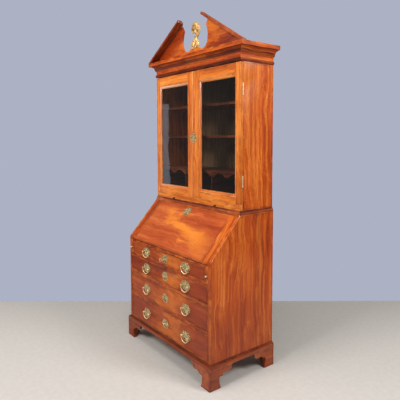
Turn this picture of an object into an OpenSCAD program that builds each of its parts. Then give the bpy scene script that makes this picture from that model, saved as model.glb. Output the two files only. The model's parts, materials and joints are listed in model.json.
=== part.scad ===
// Bureau bookcase: a slope-front writing desk with four long drawers, and above it
// a glazed two-door bookcase under a broken pediment.
// X runs across the front, -Y is the front, Z is up from the floor.

/* [Desk] */
// Width of the desk carcase
bureau_w = 970; // [820:10:1180]
// Depth of the desk carcase at the drawers
bureau_d = 531; // [480:1:640]
// Depth of the flat top behind the head of the slope
top_d = 294; // [250:1:340]
// Height from the writing bed to the desk top
nook_h = 259; // [220:1:320]
// Thickness of the desk sides
side_t = 20; // [16:1:26]
// Thickness of the flat top
top_t = 18; // [14:1:24]
// Thickness of the back boards
back_t = 12; // [8:1:16]

/* [Base] */
// Height of the underside of the base moulding
foot_h = 124; // [90:1:160]
// Height of the flat band of the base moulding
band_h = 18; // [10:1:30]
// Height of the shaped part of the base moulding
base_curve_h = 16; // [10:1:24]
// How far the base stands out from the carcase
base_reach = 15; // [8:1:25]
// Thickness of the bracket boards of the feet
bracket_t = 20; // [14:1:26]
// Width of a foot at the floor
foot_w = 86; // [70:1:110]
// Width of a bracket at its top
bracket_w = 182; // [160:1:230]

/* [Drawers] */
// Heights of the long drawer fronts, from the top one down
drawer_h = [84, 108, 149, 165]; // [80:1:200]
// Thickness of the rails between drawers
rail_t = 20; // [14:1:26]
// Depth of the rails from front to back
rail_d = 70; // [50:1:100]
// Gap round a drawer front
drawer_gap = 1; // [0.6:0.1:2]
// Thickness of a drawer front
front_t = 20; // [16:1:26]
// Thickness of the cockbead round a drawer front
bead_t = 3; // [2:0.5:5]
// Thickness of the drawer sides and back
lining_t = 10; // [7:1:14]
// Length of a long drawer
drawer_d = 490; // [380:5:500]

/* [Drawer brasses] */
// Distance of each handle from the middle of the desk
handle_x = 240; // [150:5:300]
// Width of a handle plate
plate_w = 98; // [80:1:120]
// Height of a handle plate
plate_h = 68; // [56:1:76]
// Width of an escutcheon
scutcheon_w = 78; // [60:1:90]
// Height of an escutcheon
scutcheon_h = 66; // [56:1:76]
// Thickness of the brass plates
plate_t = 1.5; // [1:0.1:3]
// Half the distance between a handle's posts
post_x = 30; // [24:1:36]
// Length of a handle's posts
post_len = 13; // [10:1:20]
// Radius of a bail's rod
bail_r = 2.6; // [2:0.1:4]
// Radius of a bail's pivot pins
bail_pin_r = 1.5; // [1:0.1:2]
// Radial clearance of a turning pin
pin_play = 0.05; // [0.03:0.01:0.1]

/* [Fall] */
// Thickness of the fall
fall_t = 18; // [16:1:24]
// Radius of the rounded lower edge, about the pivot
fall_lip = 12; // [10:1:15]
// Height of the rail under the fall
fall_rail_h = 13.5; // [8:0.5:20]
// Width of the cleats at the ends of the fall
cleat_w = 60; // [40:1:90]
// Gap at the ends of the fall
fall_gap = 0.5; // [0.4:0.1:1.5]
// Radius of the pivot pins of the fall
fall_pin_r = 3; // [2:0.5:4]
// Border of wood round the writing leather
leather_border = 62; // [40:1:100]
// Thickness of the writing leather
leather_t = 1.5; // [1:0.1:2]

/* [Lopers] */
// Thickness of a loper
loper_w = 18; // [14:1:24]
// Length of a loper
loper_len = 490; // [380:5:500]
// Thickness of the partition beside a loper
partition_t = 10; // [8:1:16]
// Sliding clearance round lopers and slides
slide_gap = 0.4; // [0.3:0.1:1]
// Radius of the small pull knobs
knob_r = 6; // [4:0.5:7]

/* [Pigeonholes of the desk] */
// Depth of the pigeonhole case
nook_d = 250; // [200:1:270]
// Thickness of the pigeonhole boards
nook_t = 6; // [4:1:9]
// Height of the small drawers
nook_drawer_h = 60; // [40:1:90]
// Number of pigeonholes above them
nook_bays = 8; // [4:1:10]

/* [Bookcase] */
// How far the bookcase sides stand in from the desk sides
upper_inset = 10; // [4:1:20]
// How far the door fronts stand back from the head of the slope
upper_setback = 6; // [4:1:12]
// Thickness of the bookcase sides
upper_side_t = 18; // [14:1:24]
// Thickness of the bookcase top and bottom boards
upper_board_t = 18; // [14:1:24]
// Height of the waist moulding
waist_h = 29; // [20:1:40]
// Height of the rail under the doors
base_rail_h = 34; // [30:1:50]
// Distance of each candle slide from the middle
candle_x = 240; // [150:5:300]
// Width of a candle slide
candle_w = 160; // [120:5:180]
// Thickness of a candle slide
candle_t = 10; // [8:1:12]
// Length of a candle slide
candle_len = 235; // [180:5:260]
// Thickness of the shelves
shelf_t = 15; // [10:1:22]
// Heights of the shelf tops above the bookcase floor
shelf_z = [434, 648]; // [150:1:800]
// Height of the pigeonhole unit in the bookcase
rack_h = 198; // [150:1:260]
// Thickness of its boards
rack_t = 8; // [5:1:12]

/* [Doors] */
// Height of the doors
door_h = 875; // [700:5:1050]
// Thickness of the doors
door_t = 22; // [18:1:28]
// Width of the outer stiles
stile_w = 38; // [30:1:60]
// Width of the meeting stiles
meeting_w = 62; // [40:1:80]
// Height of the top rail of a door
door_top_h = 68; // [50:1:90]
// Height of the bottom rail of a door
door_bottom_h = 48; // [40:1:90]
// Width of the glazing moulding
glazing_w = 17; // [12:1:22]
// Thickness of the glass
glass_t = 3; // [2:0.5:5]
// Width of the bead at the meeting edge
astragal_w = 17; // [12:1:24]
// Length of a door hinge
hinge_len = 73; // [50:1:100]
// Radius of a hinge knuckle
knuckle_r = 3.5; // [3:0.1:5]
// Radius of a door hinge pin
hinge_pin_r = 1.5; // [1:0.1:2]

/* [Cornice and pediment] */
// Heights of the cornice's moulding, frieze, cove and fillet, from the bottom up
cornice_h = [26, 26, 38, 23]; // [10:1:60]
// Projection of the cornice in front
cornice_front = 38; // [25:1:60]
// Projection of the cornice at the sides
cornice_side = 57; // [25:1:70]
// Thickness of the frieze boards behind the mouldings
frieze_t = 30; // [20:1:40]
// Angle of the raking cornices
rake_a = 31.3; // [24:0.1:36]
// Half the distance between the tips of the pediment
tip_x = 130; // [100:5:160]
// Height of the raking cornices, square to their slope
rake_h = 25; // [20:1:40]
// Thickness of the pediment board
tympanum_t = 18; // [16:1:28]

/* [Finial] */
// Height of the finial above its pedestal
finial_h = 175; // [120:5:220]
// Width of the finial
finial_w = 96; // [70:1:120]

/* [Hidden] */

// Colours of the materials
mahogany = "peru";
dark_mahogany = "saddlebrown";
oak = "burlywood";
brass = "gold";

$fn = 48;
// Glue line between boards of one sub-part, which keeps each board a solid of its own
glue = 0.1;
// Clearance between pieces that pass each other
pass_gap = 0.5;
// Thickness of a hinge leaf, and the gap between two leaves
leaf_t = 1.2;
leaf_gap = 0.3;

// Heights of the desk, built up from the floor
carcase_z = foot_h + 16;
bottom_t = 20;
floor_z = carcase_z + 3 + bottom_t;
drawer_count = len(drawer_h);
nook_drawers = 4;
function drawer_z(i) = i == drawer_count - 1
    ? floor_z + drawer_gap
    : drawer_z(i + 1) + drawer_h[i + 1] + rail_t + 2 * drawer_gap;
function rail_z(i) = drawer_z(i) - drawer_gap - rail_t;
fall_rail_z = drawer_z(0) + drawer_h[0] + 2 * drawer_gap;
pin_z = fall_rail_z + fall_rail_h + pass_gap + fall_lip;
bed_h = pin_z + fall_t - fall_lip;
bed_bottom = bed_h - fall_t - 0.3;
bureau_h = bed_h + nook_h;
fall_rail_d = 28;
base_x = bureau_w / 2 + base_reach;
base_y = -bureau_d - base_reach;
block_w = 34;

// Widths of the desk
inner_x = bureau_w / 2 - side_t;
pocket_x = inner_x - loper_w - 2 * slide_gap;
partition_x = pocket_x - partition_t;
drawer_half_w = [
    partition_x - slide_gap,
    inner_x - slide_gap,
    inner_x - slide_gap,
    inner_x - slide_gap,
];

// The slope: s runs up it from the pivot, and n out of it
pin_y = fall_lip - bureau_d;
head = [-top_d - pin_y, bureau_h - pin_z];
slope_a = atan2(head[1], head[0]) - asin(fall_lip / norm(head));
slope_len = sqrt(norm(head) * norm(head) - fall_lip * fall_lip);
fall_head = 6.8;
fall_len = slope_len - fall_head;
inner_n = fall_lip - fall_t;
function on_slope(s, n) = [
    pin_y + s * cos(slope_a) - n * sin(slope_a),
    pin_z + s * sin(slope_a) + n * cos(slope_a),
];
slope_foot = on_slope((fall_lip * sin(slope_a) - fall_lip) / cos(slope_a), fall_lip);
fall_x = inner_x - fall_gap;
fall_plate_size = [84, 74];
fall_lock_size = [50, 55];
fall_pin_len = 14;
// Leaf of a fall hinge: [length, width, thickness]
hinge_plate = [46, 11, 2];
leather_x = fall_x - leather_border;

// The pigeonhole case
nook_front = -back_t - nook_d;
nook_shelf_z = bed_h + nook_t + nook_drawer_h + 2 * drawer_gap;
nook_top_z = bureau_h - top_t - nook_t;
nook_valance_h = 28;
inner_lining_t = 6;
inner_bottom_t = 4;
inner_front_t = 9;

// The bookcase
upper_x = bureau_w / 2 - upper_inset;
upper_inner_x = upper_x - upper_side_t;
door_front = upper_setback - top_d;
door_back = door_front + door_t;
case_front = door_back + pass_gap;
waist_z = bureau_h + waist_h;
upper_floor_z = waist_z + base_rail_h;
door_z = upper_floor_z + drawer_gap;
door_top = door_z + door_h;
cornice_z = door_top + 5;
frieze_top = cornice_z + cornice_h[0] + cornice_h[1];
cornice_top = frieze_top + cornice_h[2] + cornice_h[3];
cornice_x = upper_x + cornice_side;
candle_z = waist_z + 2;
waist_tongue = 12;
rack_front = case_front + 18;
rack_valance_h = 34;
shelf_front = case_front + 26;

// The doors and their hinges
hinge_x = upper_x + 1;
hinge_y = door_back + leaf_gap;
hinge_z = [door_z + 107, door_top - 125 - hinge_len];
knuckle_gap = 0.3;
door_spans = [[1 / 3, 2 / 3]];
case_spans = [[0, 1 / 3], [2 / 3, 1]];
glass_y = door_front + 12;
glass_lap = 8;
door_plate_size = [84, 76];
door_plate_z = door_z + 417;
door_edge = [0, 1];

// The pediment
tympanum_y = door_front + 8;
rake_front = door_front - cornice_front;
tip_z = cornice_top + 5 + (cornice_x - tip_x) * tan(rake_a);
pedestal_z = cornice_top + 36;
board_drop = 15;
finial_y = tympanum_y + tympanum_t / 2;
dowel_r = 5;
dowel_len = 22;

// The brasses of the drawers
drawer_face = 1 - bureau_d;
bail_y = drawer_face - plate_t - post_len;
bail_x = post_x + 8;
key_r = 2.9;
key_hole_r = key_r + pin_play;
key_len = 26;
key_bow_r = 9;
key_wire_r = 1.6;
key_reach = drawer_face - plate_t - key_len - 2 * (key_bow_r + key_wire_r);
lock_size = [60, 10, 8];
nut_r = 7;
nut_t = 3;
back_y = -key_reach / 2;

// Points of a circular arc from angle a0 to a1
function arc(centre, r, a0, a1, n = 8) =
    [for (i = [0:n]) let (a = a0 + (a1 - a0) * i / n) centre + r * [cos(a), sin(a)]];

// Points of a smooth curve from a, pulled towards b, to c
function bend(a, b, c, n = 6) =
    [for (i = [0:n]) let (t = i / n) (1 - t) * (1 - t) * a + 2 * t * (1 - t) * b + t * t * c];

function flip(points) = [for (i = [len(points) - 1:-1:0]) [-points[i][0], points[i][1]]];

// Puts the middle of the whole depth at the origin: children are drawn with the back at y = 0
module from_back() {
    translate([0, back_y, 0]) children();
}

// A box between two opposite corners
module board(low, high) {
    translate(low) cube(high - low);
}

// Children and their mirror image across the middle
module both_sides() {
    children();
    mirror([1, 0, 0]) children();
}

// A section in Y and Z, drawn out along X
module across(x0, x1) {
    translate([x0, 0, 0]) rotate([90, 0, 90]) linear_extrude(x1 - x0) children();
}

// An outline in X and Z, drawn out from the front y0 to the back y1
module facing(y0, y1) {
    translate([0, y1, 0]) rotate([90, 0, 0]) linear_extrude(y1 - y0) children();
}

// A cylinder along X
module rod_x(x0, x1, r) {
    translate([x0, 0, 0]) rotate([0, 90, 0]) cylinder(r = r, h = x1 - x0);
}

// A cylinder towards the front
module rod_front(len, r) {
    rotate([90, 0, 0]) cylinder(r = r, h = len);
}

// Small turned knob on a front face at the origin
module knob(r) {
    rod_front(2, r * 0.8);
    rod_front(r * 1.4, r * 0.4);
    translate([0, -r * 1.7, 0]) sphere(r = r);
}

// A run of moulding round the front and both sides: front and side are its two sections
// (reach out, height), case_x and case_y the faces it runs round, deep its inward depth
module moulding_round(case_x, case_y, front, side, reach_x, reach_y, deep) {
    far = 1000;
    in_x = case_x - deep;
    in_y = case_y + deep * reach_y / reach_x;
    out_x = case_x + far;
    out_y = case_y - far * reach_y / reach_x;
    intersection() {
        across(-case_x - far, case_x + far) polygon([for (p = front) [case_y - p[0], p[1]]]);
        linear_extrude(4000) polygon([
            [-in_x, in_y],
            [-out_x, out_y],
            [out_x, out_y],
            [in_x, in_y],
        ]);
    }
    both_sides() intersection() {
        facing(-2 * far, -glue) polygon([for (p = side) [case_x + p[0], p[1]]]);
        linear_extrude(4000) polygon([
            [in_x - deep, -glue],
            [in_x - deep, in_y + deep],
            [in_x + glue, in_y + glue],
            [out_x + glue, out_y + glue],
            [out_x, -glue],
        ]);
    }
}

// Lobed outline of a pierced brass plate
module lobed_plate(w, h) {
    polygon([for (a = [0:5:355])
        let (k = 0.9 + 0.05 * cos(6 * a) - 0.05 * cos(10 * a))
        [w / 2 * k * cos(a), h / 2 * k * sin(a)]]);
}

// Drop-shaped piercing at angle a of an ellipse w wide and h high, pointing away from its middle
module piercing(a, w, h, size) {
    translate([w / 2 * cos(a), h / 2 * sin(a)]) rotate(atan2(h * sin(a), w * cos(a)))
        polygon(concat([[size * 1.5, 0]], arc([0, 0], size * 0.75, 60, 300)));
}

module keyhole() {
    circle(r = key_hole_r);
    translate([-1.6, -11]) square([3.2, 11]);
}

// A pierced plate as it lies on a front face at the origin, with two rings of piercings
module pierced_plate(size, outer, inner, with_keyhole) {
    w = size[0];
    h = size[1];
    facing(-plate_t, 0) difference() {
        lobed_plate(w, h);
        for (a = outer) piercing(a, w * 0.54, h * 0.54, h / 12);
        for (a = inner) piercing(a, w * 0.22, h * 0.22, h / 21);
        if (with_keyhole) keyhole();
    }
}

// ---------- The desk carcase ----------

module bureau_side() {
    difference() {
        across(inner_x, bureau_w / 2) polygon([
            [0, carcase_z],
            [-bureau_d, carcase_z],
            [-bureau_d, slope_foot[1]],
            [-top_d, bureau_h],
            [0, bureau_h],
        ]);
        translate([inner_x - 1, pin_y, pin_z]) rod_x(0, 11, fall_pin_r + 2);
    }
}

module bureau_side_left() {
    color(mahogany) from_back() mirror([1, 0, 0]) bureau_side();
}

module bureau_side_right() {
    color(mahogany) from_back() bureau_side();
}

module bureau_top() {
    joint_s = fall_len + 0.8;
    under_n = (bureau_h - top_t - pin_z - joint_s * sin(slope_a)) / cos(slope_a);
    color(mahogany) from_back() across(-inner_x, inner_x) polygon([
        [0, bureau_h - top_t],
        on_slope(joint_s, under_n),
        on_slope(joint_s, fall_lip),
        [-top_d, bureau_h],
        [0, bureau_h],
    ]);
}

// The bed is hollowed in front so that the rounded edge of the fall turns in it
module writing_bed() {
    color(mahogany) from_back() difference() {
        board([-inner_x, pin_y, bed_bottom], [inner_x, -back_t, bed_h]);
        translate([0, pin_y, pin_z]) rod_x(-bureau_w, bureau_w, fall_lip + pass_gap);
        across(-bureau_w, bureau_w) polygon([
            on_slope(0, inner_n - pass_gap),
            on_slope(fall_len, inner_n - pass_gap),
            on_slope(fall_len, fall_lip + 60),
            on_slope(-60, fall_lip + 60),
            on_slope(-60, 0),
        ]);
    }
}

module bureau_bottom() {
    color(oak) from_back()
        board([-inner_x, -bureau_d, floor_z - bottom_t], [inner_x, -back_t, floor_z]);
}

module bureau_back() {
    boards = 6;
    pitch = 2 * inner_x / boards;
    color(oak) from_back() for (i = [0:boards - 1])
        board(
            [-inner_x + i * pitch, -back_t, carcase_z],
            [-inner_x + (i + 1) * pitch - glue, 0, bureau_h - top_t]
        );
}

module drawer_dividers() {
    dust_t = 8;
    color(dark_mahogany) from_back() {
        for (i = [0:drawer_count - 2]) {
            z = rail_z(i);
            board([-inner_x, -bureau_d, z], [inner_x, rail_d - bureau_d, z + rail_t]);
            board(
                [-inner_x, rail_d - bureau_d + glue, z + rail_t - dust_t],
                [inner_x, -back_t, z + rail_t]
            );
        }
        board(
            [-pocket_x, -bureau_d, fall_rail_z],
            [pocket_x, fall_rail_d - bureau_d, fall_rail_z + fall_rail_h]
        );
    }
}

module loper_partitions() {
    low = rail_z(0) + rail_t;
    color(dark_mahogany) from_back() both_sides() across(partition_x, pocket_x) polygon([
        [-back_t, low],
        [-bureau_d, low],
        [-bureau_d, fall_rail_z],
        [fall_rail_d - bureau_d, fall_rail_z],
        [fall_rail_d - bureau_d, bed_bottom],
        [-back_t, bed_bottom],
    ]);
}

module base_moulding() {
    z1 = foot_h + band_h;
    z2 = z1 + base_curve_h;
    tongue = 8;
    section = concat(
        [[-tongue, carcase_z], [-tongue, foot_h], [base_reach, foot_h], [base_reach, z1]],
        bend([base_reach - 2, z1], [base_reach - 1, z1 + 8], [base_reach / 2, z1 + 8]),
        bend([base_reach / 2, z1 + 8], [1, z1 + 8], [1.5, z2 - 2]),
        [[1.5, z2], [0, z2], [0, carcase_z]]
    );
    color(mahogany) from_back() moulding_round(
        bureau_w / 2, -bureau_d, section, section, base_reach, base_reach, tongue
    );
}

// Outline of a bracket: [distance from the corner, height]
function bracket() = concat(
    [[0, 0], [foot_w, 0]],
    bend([foot_w - 1, 6], [foot_w - 11, 30], [foot_w - 12, foot_h - 66]),
    bend([foot_w - 12, foot_h - 62], [foot_w - 10, foot_h - 48], [foot_w + 4, foot_h - 49]),
    bend([foot_w + 12, foot_h - 50], [foot_w + 20, foot_h - 49], [foot_w + 21, foot_h - 40]),
    bend([foot_w + 24, foot_h - 37], [foot_w + 45, foot_h - 36], [bracket_w - 36, foot_h - 38]),
    bend([bracket_w - 30, foot_h - 38], [bracket_w - 8, foot_h - 36], [bracket_w - 7, foot_h - 16]),
    [[bracket_w - 5, foot_h - 6], [bracket_w, foot_h - 4], [bracket_w, foot_h], [0, foot_h]]
);

// A bracket that faces the front, mitred at the outer corner
module front_bracket() {
    difference() {
        facing(base_y, base_y + bracket_t)
            polygon([for (p = bracket()) [base_x - p[0], p[1]]]);
        translate([base_x, base_y, -1]) linear_extrude(foot_h + 2)
            polygon([[glue, -1], [glue, bracket_t + 1], [-bracket_t - 1, bracket_t + 1]]);
    }
}

// A bracket that faces the side, mitred to the front one
module side_bracket() {
    difference() {
        across(base_x - bracket_t, base_x)
            polygon([for (p = bracket()) [base_y + p[0], p[1]]]);
        translate([base_x, base_y, -1]) linear_extrude(foot_h + 2) polygon([
            [1, -1 - glue],
            [-bracket_t - 1, bracket_t + 1 - glue],
            [-bracket_t - 1, -1 - glue],
        ]);
    }
}

module feet_front() {
    block_x = base_x - bracket_t - glue;
    block_y = base_y + bracket_t + glue;
    color(mahogany) from_back() both_sides() {
        front_bracket();
        side_bracket();
        board([block_x - block_w, block_y, 2], [block_x, block_y + block_w, foot_h]);
    }
}

module feet_back() {
    block_x = base_x - bracket_t - glue;
    back_board = [[0, 0], [foot_w, 0], [foot_w + 40, foot_h], [0, foot_h]];
    color(mahogany) from_back() both_sides() {
        across(base_x - bracket_t, base_x) polygon([for (p = bracket()) [-p[0], p[1]]]);
        facing(-bracket_t, 0) polygon([for (p = back_board) [block_x - p[0], p[1]]]);
        board(
            [block_x - block_w, -bracket_t - glue - block_w, 2],
            [block_x, -bracket_t - glue, foot_h]
        );
    }
}

// ---------- The pigeonhole case ----------

function nook_x(i, n) = -inner_x + (2 * inner_x - nook_t) * i / n;

// Shaped valance at the head of an opening: arches with a cusp between them
module valance(w, h, arches) {
    span = w / arches;
    difference() {
        translate([0, -h]) square([w, h]);
        for (i = [0:arches - 1]) translate([i * span, -h]) polygon(concat(
            [[span * 0.06, -1]],
            bend([span * 0.06, 0], [span * 0.16, 0], [span * 0.2, h * 0.35]),
            bend([span * 0.2, h * 0.35], [span * 0.5, h * 1.15], [span * 0.8, h * 0.35]),
            bend([span * 0.8, h * 0.35], [span * 0.84, 0], [span * 0.94, 0]),
            [[span * 0.94, -1]]
        ));
    }
}

module pigeonhole_case() {
    color(oak) from_back() {
        board([-inner_x, nook_front, bed_h], [inner_x, -back_t, bed_h + nook_t]);
        board([-inner_x, nook_front, nook_shelf_z], [inner_x, -back_t, nook_shelf_z + nook_t]);
        board([-inner_x, nook_front, nook_top_z], [inner_x, -back_t, nook_top_z + nook_t]);
        for (i = [0:nook_drawers]) let (x = nook_x(i, nook_drawers))
            board(
                [x, nook_front, bed_h + nook_t + glue],
                [x + nook_t, -back_t, nook_shelf_z - glue]
            );
        for (i = [0:nook_bays]) let (x = nook_x(i, nook_bays))
            board(
                [x, nook_front, nook_shelf_z + nook_t + glue],
                [x + nook_t, -back_t, nook_top_z - glue]
            );
        for (i = [0:nook_bays - 1]) let (x = nook_x(i, nook_bays) + nook_t + glue)
            translate([x, 0, nook_top_z - glue]) facing(nook_front + 2, nook_front + 7)
                valance(nook_x(i + 1, nook_bays) - x - glue, nook_valance_h, 1);
    }
}

// A small drawer with a turned knob, counted from the left
module inner_drawer(i) {
    x0 = nook_x(i, nook_drawers) + nook_t + slide_gap;
    x1 = nook_x(i + 1, nook_drawers) - slide_gap;
    z0 = bed_h + nook_t + slide_gap;
    z1 = z0 + nook_drawer_h;
    t = inner_lining_t;
    y0 = nook_front + inner_front_t + glue;
    y1 = -back_t - 20;
    color(mahogany) from_back() {
        board([x0, nook_front, z0], [x1, y0 - glue, z1]);
        board([x0, y0, z0], [x0 + t, y1, z1 - 4]);
        board([x1 - t, y0, z0], [x1, y1, z1 - 4]);
        board([x0 + t + glue, y1 - t, z0], [x1 - t - glue, y1, z1 - 8]);
        board([x0 + t + glue, y0, z0], [x1 - t - glue, y1 - t - glue, z0 + inner_bottom_t]);
        translate([(x0 + x1) / 2, nook_front - glue, (z0 + z1) / 2]) knob(knob_r);
    }
}

module inner_drawer_1() {
    inner_drawer(0);
}

module inner_drawer_2() {
    inner_drawer(1);
}

module inner_drawer_3() {
    inner_drawer(2);
}

module inner_drawer_4() {
    inner_drawer(3);
}

// ---------- The fall ----------

// Section of the fall, with its lower edge rounded about the pivot
function fall_section() = concat(
    [on_slope(fall_len, fall_lip), on_slope(fall_len, inner_n)],
    arc([pin_y, pin_z], fall_lip, slope_a + 180 - asin(inner_n / fall_lip), slope_a + 90, 16)
);

// Draws children on the slope: X across, Y up the slope, Z out of it
module lay_on_slope(n) {
    translate([0, pin_y, pin_z]) rotate([slope_a, 0, 0]) translate([0, 0, n]) children();
}

module fall_panel() {
    split_x = fall_x - cleat_w;
    color(mahogany) from_back() difference() {
        union() {
            across(-split_x + glue, split_x - glue) polygon(fall_section());
            both_sides() across(split_x, fall_x) polygon(fall_section());
        }
        lay_on_slope(inner_n - 1) board(
            [-leather_x, leather_border, 0],
            [leather_x, fall_len - leather_border, 1 + leather_t]
        );
        both_sides() lay_on_slope(-hinge_plate[1] / 2)
            board([fall_x - hinge_plate[2], -5, 0], [fall_x + 1, hinge_plate[0] - 5, hinge_plate[1]]);
        both_sides() translate([fall_x - fall_pin_len, pin_y, pin_z])
            rod_x(0, fall_pin_len + 1, fall_pin_r);
    }
}

module writing_leather() {
    color("darkgreen") from_back() lay_on_slope(inner_n) board(
        [-leather_x + glue, leather_border + glue, 0.2],
        [leather_x - glue, fall_len - leather_border - glue, leather_t]
    );
}

// The plate outside and the lock plate inside, with the keyhole a little left of the middle
module fall_plate() {
    plate_s = fall_len - 42;
    plate_x = -24;
    lock_x = fall_lock_size[0] / 2;
    color(brass) from_back() {
        lay_on_slope(fall_lip + glue) translate([plate_x, plate_s, 0]) rotate([-90, 0, 0])
            pierced_plate(fall_plate_size, [36, 72, 108, 144, 216, 324], [0, 180], true);
        lay_on_slope(inner_n - glue) board(
            [plate_x - lock_x, fall_len - 1 - fall_lock_size[1], -plate_t],
            [plate_x + lock_x, fall_len - 1, 0]
        );
    }
}

module fall_hinges() {
    color(brass) from_back() both_sides() {
        lay_on_slope(-hinge_plate[1] / 2)
            board([fall_x - hinge_plate[2], -5, 0], [fall_x, hinge_plate[0] - 5, hinge_plate[1]]);
        translate([0, pin_y, pin_z]) rod_x(fall_x - fall_pin_len, inner_x + 8, fall_pin_r);
    }
}

// ---------- Lopers ----------

module loper() {
    z0 = rail_z(0) + rail_t + slide_gap;
    x0 = pocket_x + slide_gap;
    color(mahogany) from_back() {
        board([x0, -bureau_d, z0], [x0 + loper_w, loper_len - bureau_d, bed_bottom - slide_gap]);
        translate([x0 + loper_w / 2, -bureau_d - glue, z0 + 0.39 * (bed_bottom - z0)])
            knob(knob_r);
    }
}

module loper_left() {
    mirror([1, 0, 0]) loper();
}

module loper_right() {
    loper();
}

// ---------- Long drawers ----------

// Cockbead along the Z axis, with its rounded nose to the front
module cockbead(len) {
    linear_extrude(len) polygon(concat(
        [[0, 8], [0, -bead_t / 2]],
        arc([bead_t / 2, -bead_t / 2], bead_t / 2, 180, 360, 6),
        [[bead_t, 8]]
    ));
}

// The cockbeads round a front w wide and h high
module cockbeads(w, h) {
    cockbead(h);
    translate([w - bead_t, 0, 0]) cockbead(h);
    for (z = [0, h - bead_t])
        translate([bead_t + glue, 0, z + bead_t]) rotate([0, 90, 0])
            cockbead(w - 2 * bead_t - 2 * glue);
}

function plate_z(i) = drawer_z(i) + drawer_h[i] / 2;

module long_drawer(i) {
    w = drawer_half_w[i];
    z0 = drawer_z(i);
    z1 = z0 + drawer_h[i];
    inset = bead_t + glue;
    y0 = drawer_face + front_t + glue;
    y1 = drawer_d - bureau_d;
    side_z = z1 - 6;
    color(mahogany) from_back() {
        difference() {
            board([-w + inset, drawer_face, z0 + inset], [w - inset, drawer_face + front_t, z1 - inset]);
            translate([0, drawer_face + front_t + 1, plate_z(i)]) rod_front(front_t + 2, key_hole_r);
        }
        translate([-w, drawer_face, z0]) cockbeads(2 * w, drawer_h[i]);
    }
    color(oak) from_back() {
        both_sides() board([w - lining_t, y0, z0], [w, y1, side_z]);
        board([-w + lining_t + glue, y1 - lining_t, z0 + 6], [w - lining_t - glue, y1, side_z]);
        board(
            [-w + lining_t + glue, y0, z0 + 6],
            [w - lining_t - glue, y1 - lining_t - glue, z0 + 12]
        );
    }
}

module drawer_1() {
    long_drawer(0);
}

module drawer_2() {
    long_drawer(1);
}

module drawer_3() {
    long_drawer(2);
}

module drawer_4() {
    long_drawer(3);
}

// Posts of one handle, bored for the bail's pins
module handle_posts() {
    both_sides() translate([post_x, -plate_t, 0]) difference() {
        union() {
            translate([0, -glue, 0]) rod_front(2, 5);
            translate([0, -1, 0]) rod_front(post_len - 1, 2.6);
            translate([0, -post_len, 0]) rotate([0, 45, -90]) sphere(r = 4);
        }
        translate([0, -post_len, 0]) rod_x(-6, 6, bail_pin_r + pin_play);
    }
}

// The brasses of one drawer: two handle plates with posts and nuts, escutcheon and lock
module drawer_brasses(i) {
    color(brass) from_back() translate([0, drawer_face, plate_z(i)]) {
        both_sides() translate([handle_x, 0, 0]) {
            pierced_plate(
                [plate_w, plate_h], [36, 90, 144, 216, 270, 324], [0, 90, 180, 270], false
            );
            handle_posts();
            both_sides() translate([post_x, front_t + nut_t, 0]) rod_front(nut_t, nut_r);
        }
        pierced_plate(
            [scutcheon_w, scutcheon_h], [0, 36, 72, 108, 144, 180, 216, 324], [0, 180], true
        );
        board(
            [-lock_size[0] / 2, front_t, -lock_size[2]],
            [lock_size[0] / 2, front_t + lock_size[1], drawer_h[i] / 2 - lock_size[2]]
        );
    }
}

module drawer_1_plates() {
    drawer_brasses(0);
}

module drawer_2_plates() {
    drawer_brasses(1);
}

module drawer_3_plates() {
    drawer_brasses(2);
}

module drawer_4_plates() {
    drawer_brasses(3);
}

// A hanging bail: a half ring with its ends turned in to the posts
module bail(i, side) {
    color(brass) from_back() translate([side * handle_x, bail_y, plate_z(i)]) {
        rotate([90, 0, 0]) rotate_extrude(angle = -180) translate([bail_x, 0]) circle(r = bail_r);
        both_sides() {
            translate([bail_x, 0, 0]) sphere(r = bail_r + 0.9);
            rod_x(post_x - 3, bail_x, bail_pin_r);
        }
    }
}

module drawer_1_bail_left() {
    bail(0, -1);
}

module drawer_1_bail_right() {
    bail(0, 1);
}

module drawer_2_bail_left() {
    bail(1, -1);
}

module drawer_2_bail_right() {
    bail(1, 1);
}

module drawer_3_bail_left() {
    bail(2, -1);
}

module drawer_3_bail_right() {
    bail(2, 1);
}

module drawer_4_bail_left() {
    bail(3, -1);
}

module drawer_4_bail_right() {
    bail(3, 1);
}

// The key stands in the lock of the top drawer, its bow upright
module drawer_key() {
    end_y = drawer_face + front_t - 4;
    bow_y = key_reach + key_bow_r + key_wire_r;
    color(brass) from_back() translate([0, 0, plate_z(0)]) {
        translate([0, end_y, 0]) rod_front(end_y - bow_y - key_bow_r, key_r);
        translate([0, bow_y, 0]) rotate([0, 90, 0]) rotate_extrude()
            translate([key_bow_r, 0]) circle(r = key_wire_r);
        translate([0, bow_y + key_bow_r + 5, 0]) rod_front(2, key_r + 1.5);
    }
}

// A leather fob that hangs from the bow of the key, with the bow through its eye
module key_fob() {
    bow_y = key_reach + key_bow_r + key_wire_r;
    eye_z = plate_z(0) - key_bow_r - 1;
    color("firebrick") from_back() facing(bow_y - 1, bow_y + 1) difference() {
        hull() {
            translate([0, eye_z]) circle(r = 6);
            translate([0, eye_z - 26]) circle(r = 10);
        }
        translate([0, eye_z + 0.6]) circle(r = 3.2);
    }
}

// ---------- The bookcase ----------

// Groove for the knuckles of the hinge at height z
module knuckle_groove(z) {
    translate([hinge_x, hinge_y, z - 0.5]) cylinder(r = knuckle_r + knuckle_gap, h = hinge_len + 1);
}

// One side of the bookcase, grooved for the knuckles of the door hinges
module upper_side() {
    difference() {
        board([upper_inner_x, case_front, waist_z], [upper_x, 0, cornice_z - glue]);
        for (z = hinge_z) {
            knuckle_groove(z);
            board([upper_inner_x, case_front - 1, z], [hinge_x, case_front + leaf_t, z + hinge_len]);
        }
    }
}

module upper_side_left() {
    color(mahogany) from_back() mirror([1, 0, 0]) upper_side();
}

module upper_side_right() {
    color(mahogany) from_back() upper_side();
}

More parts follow.
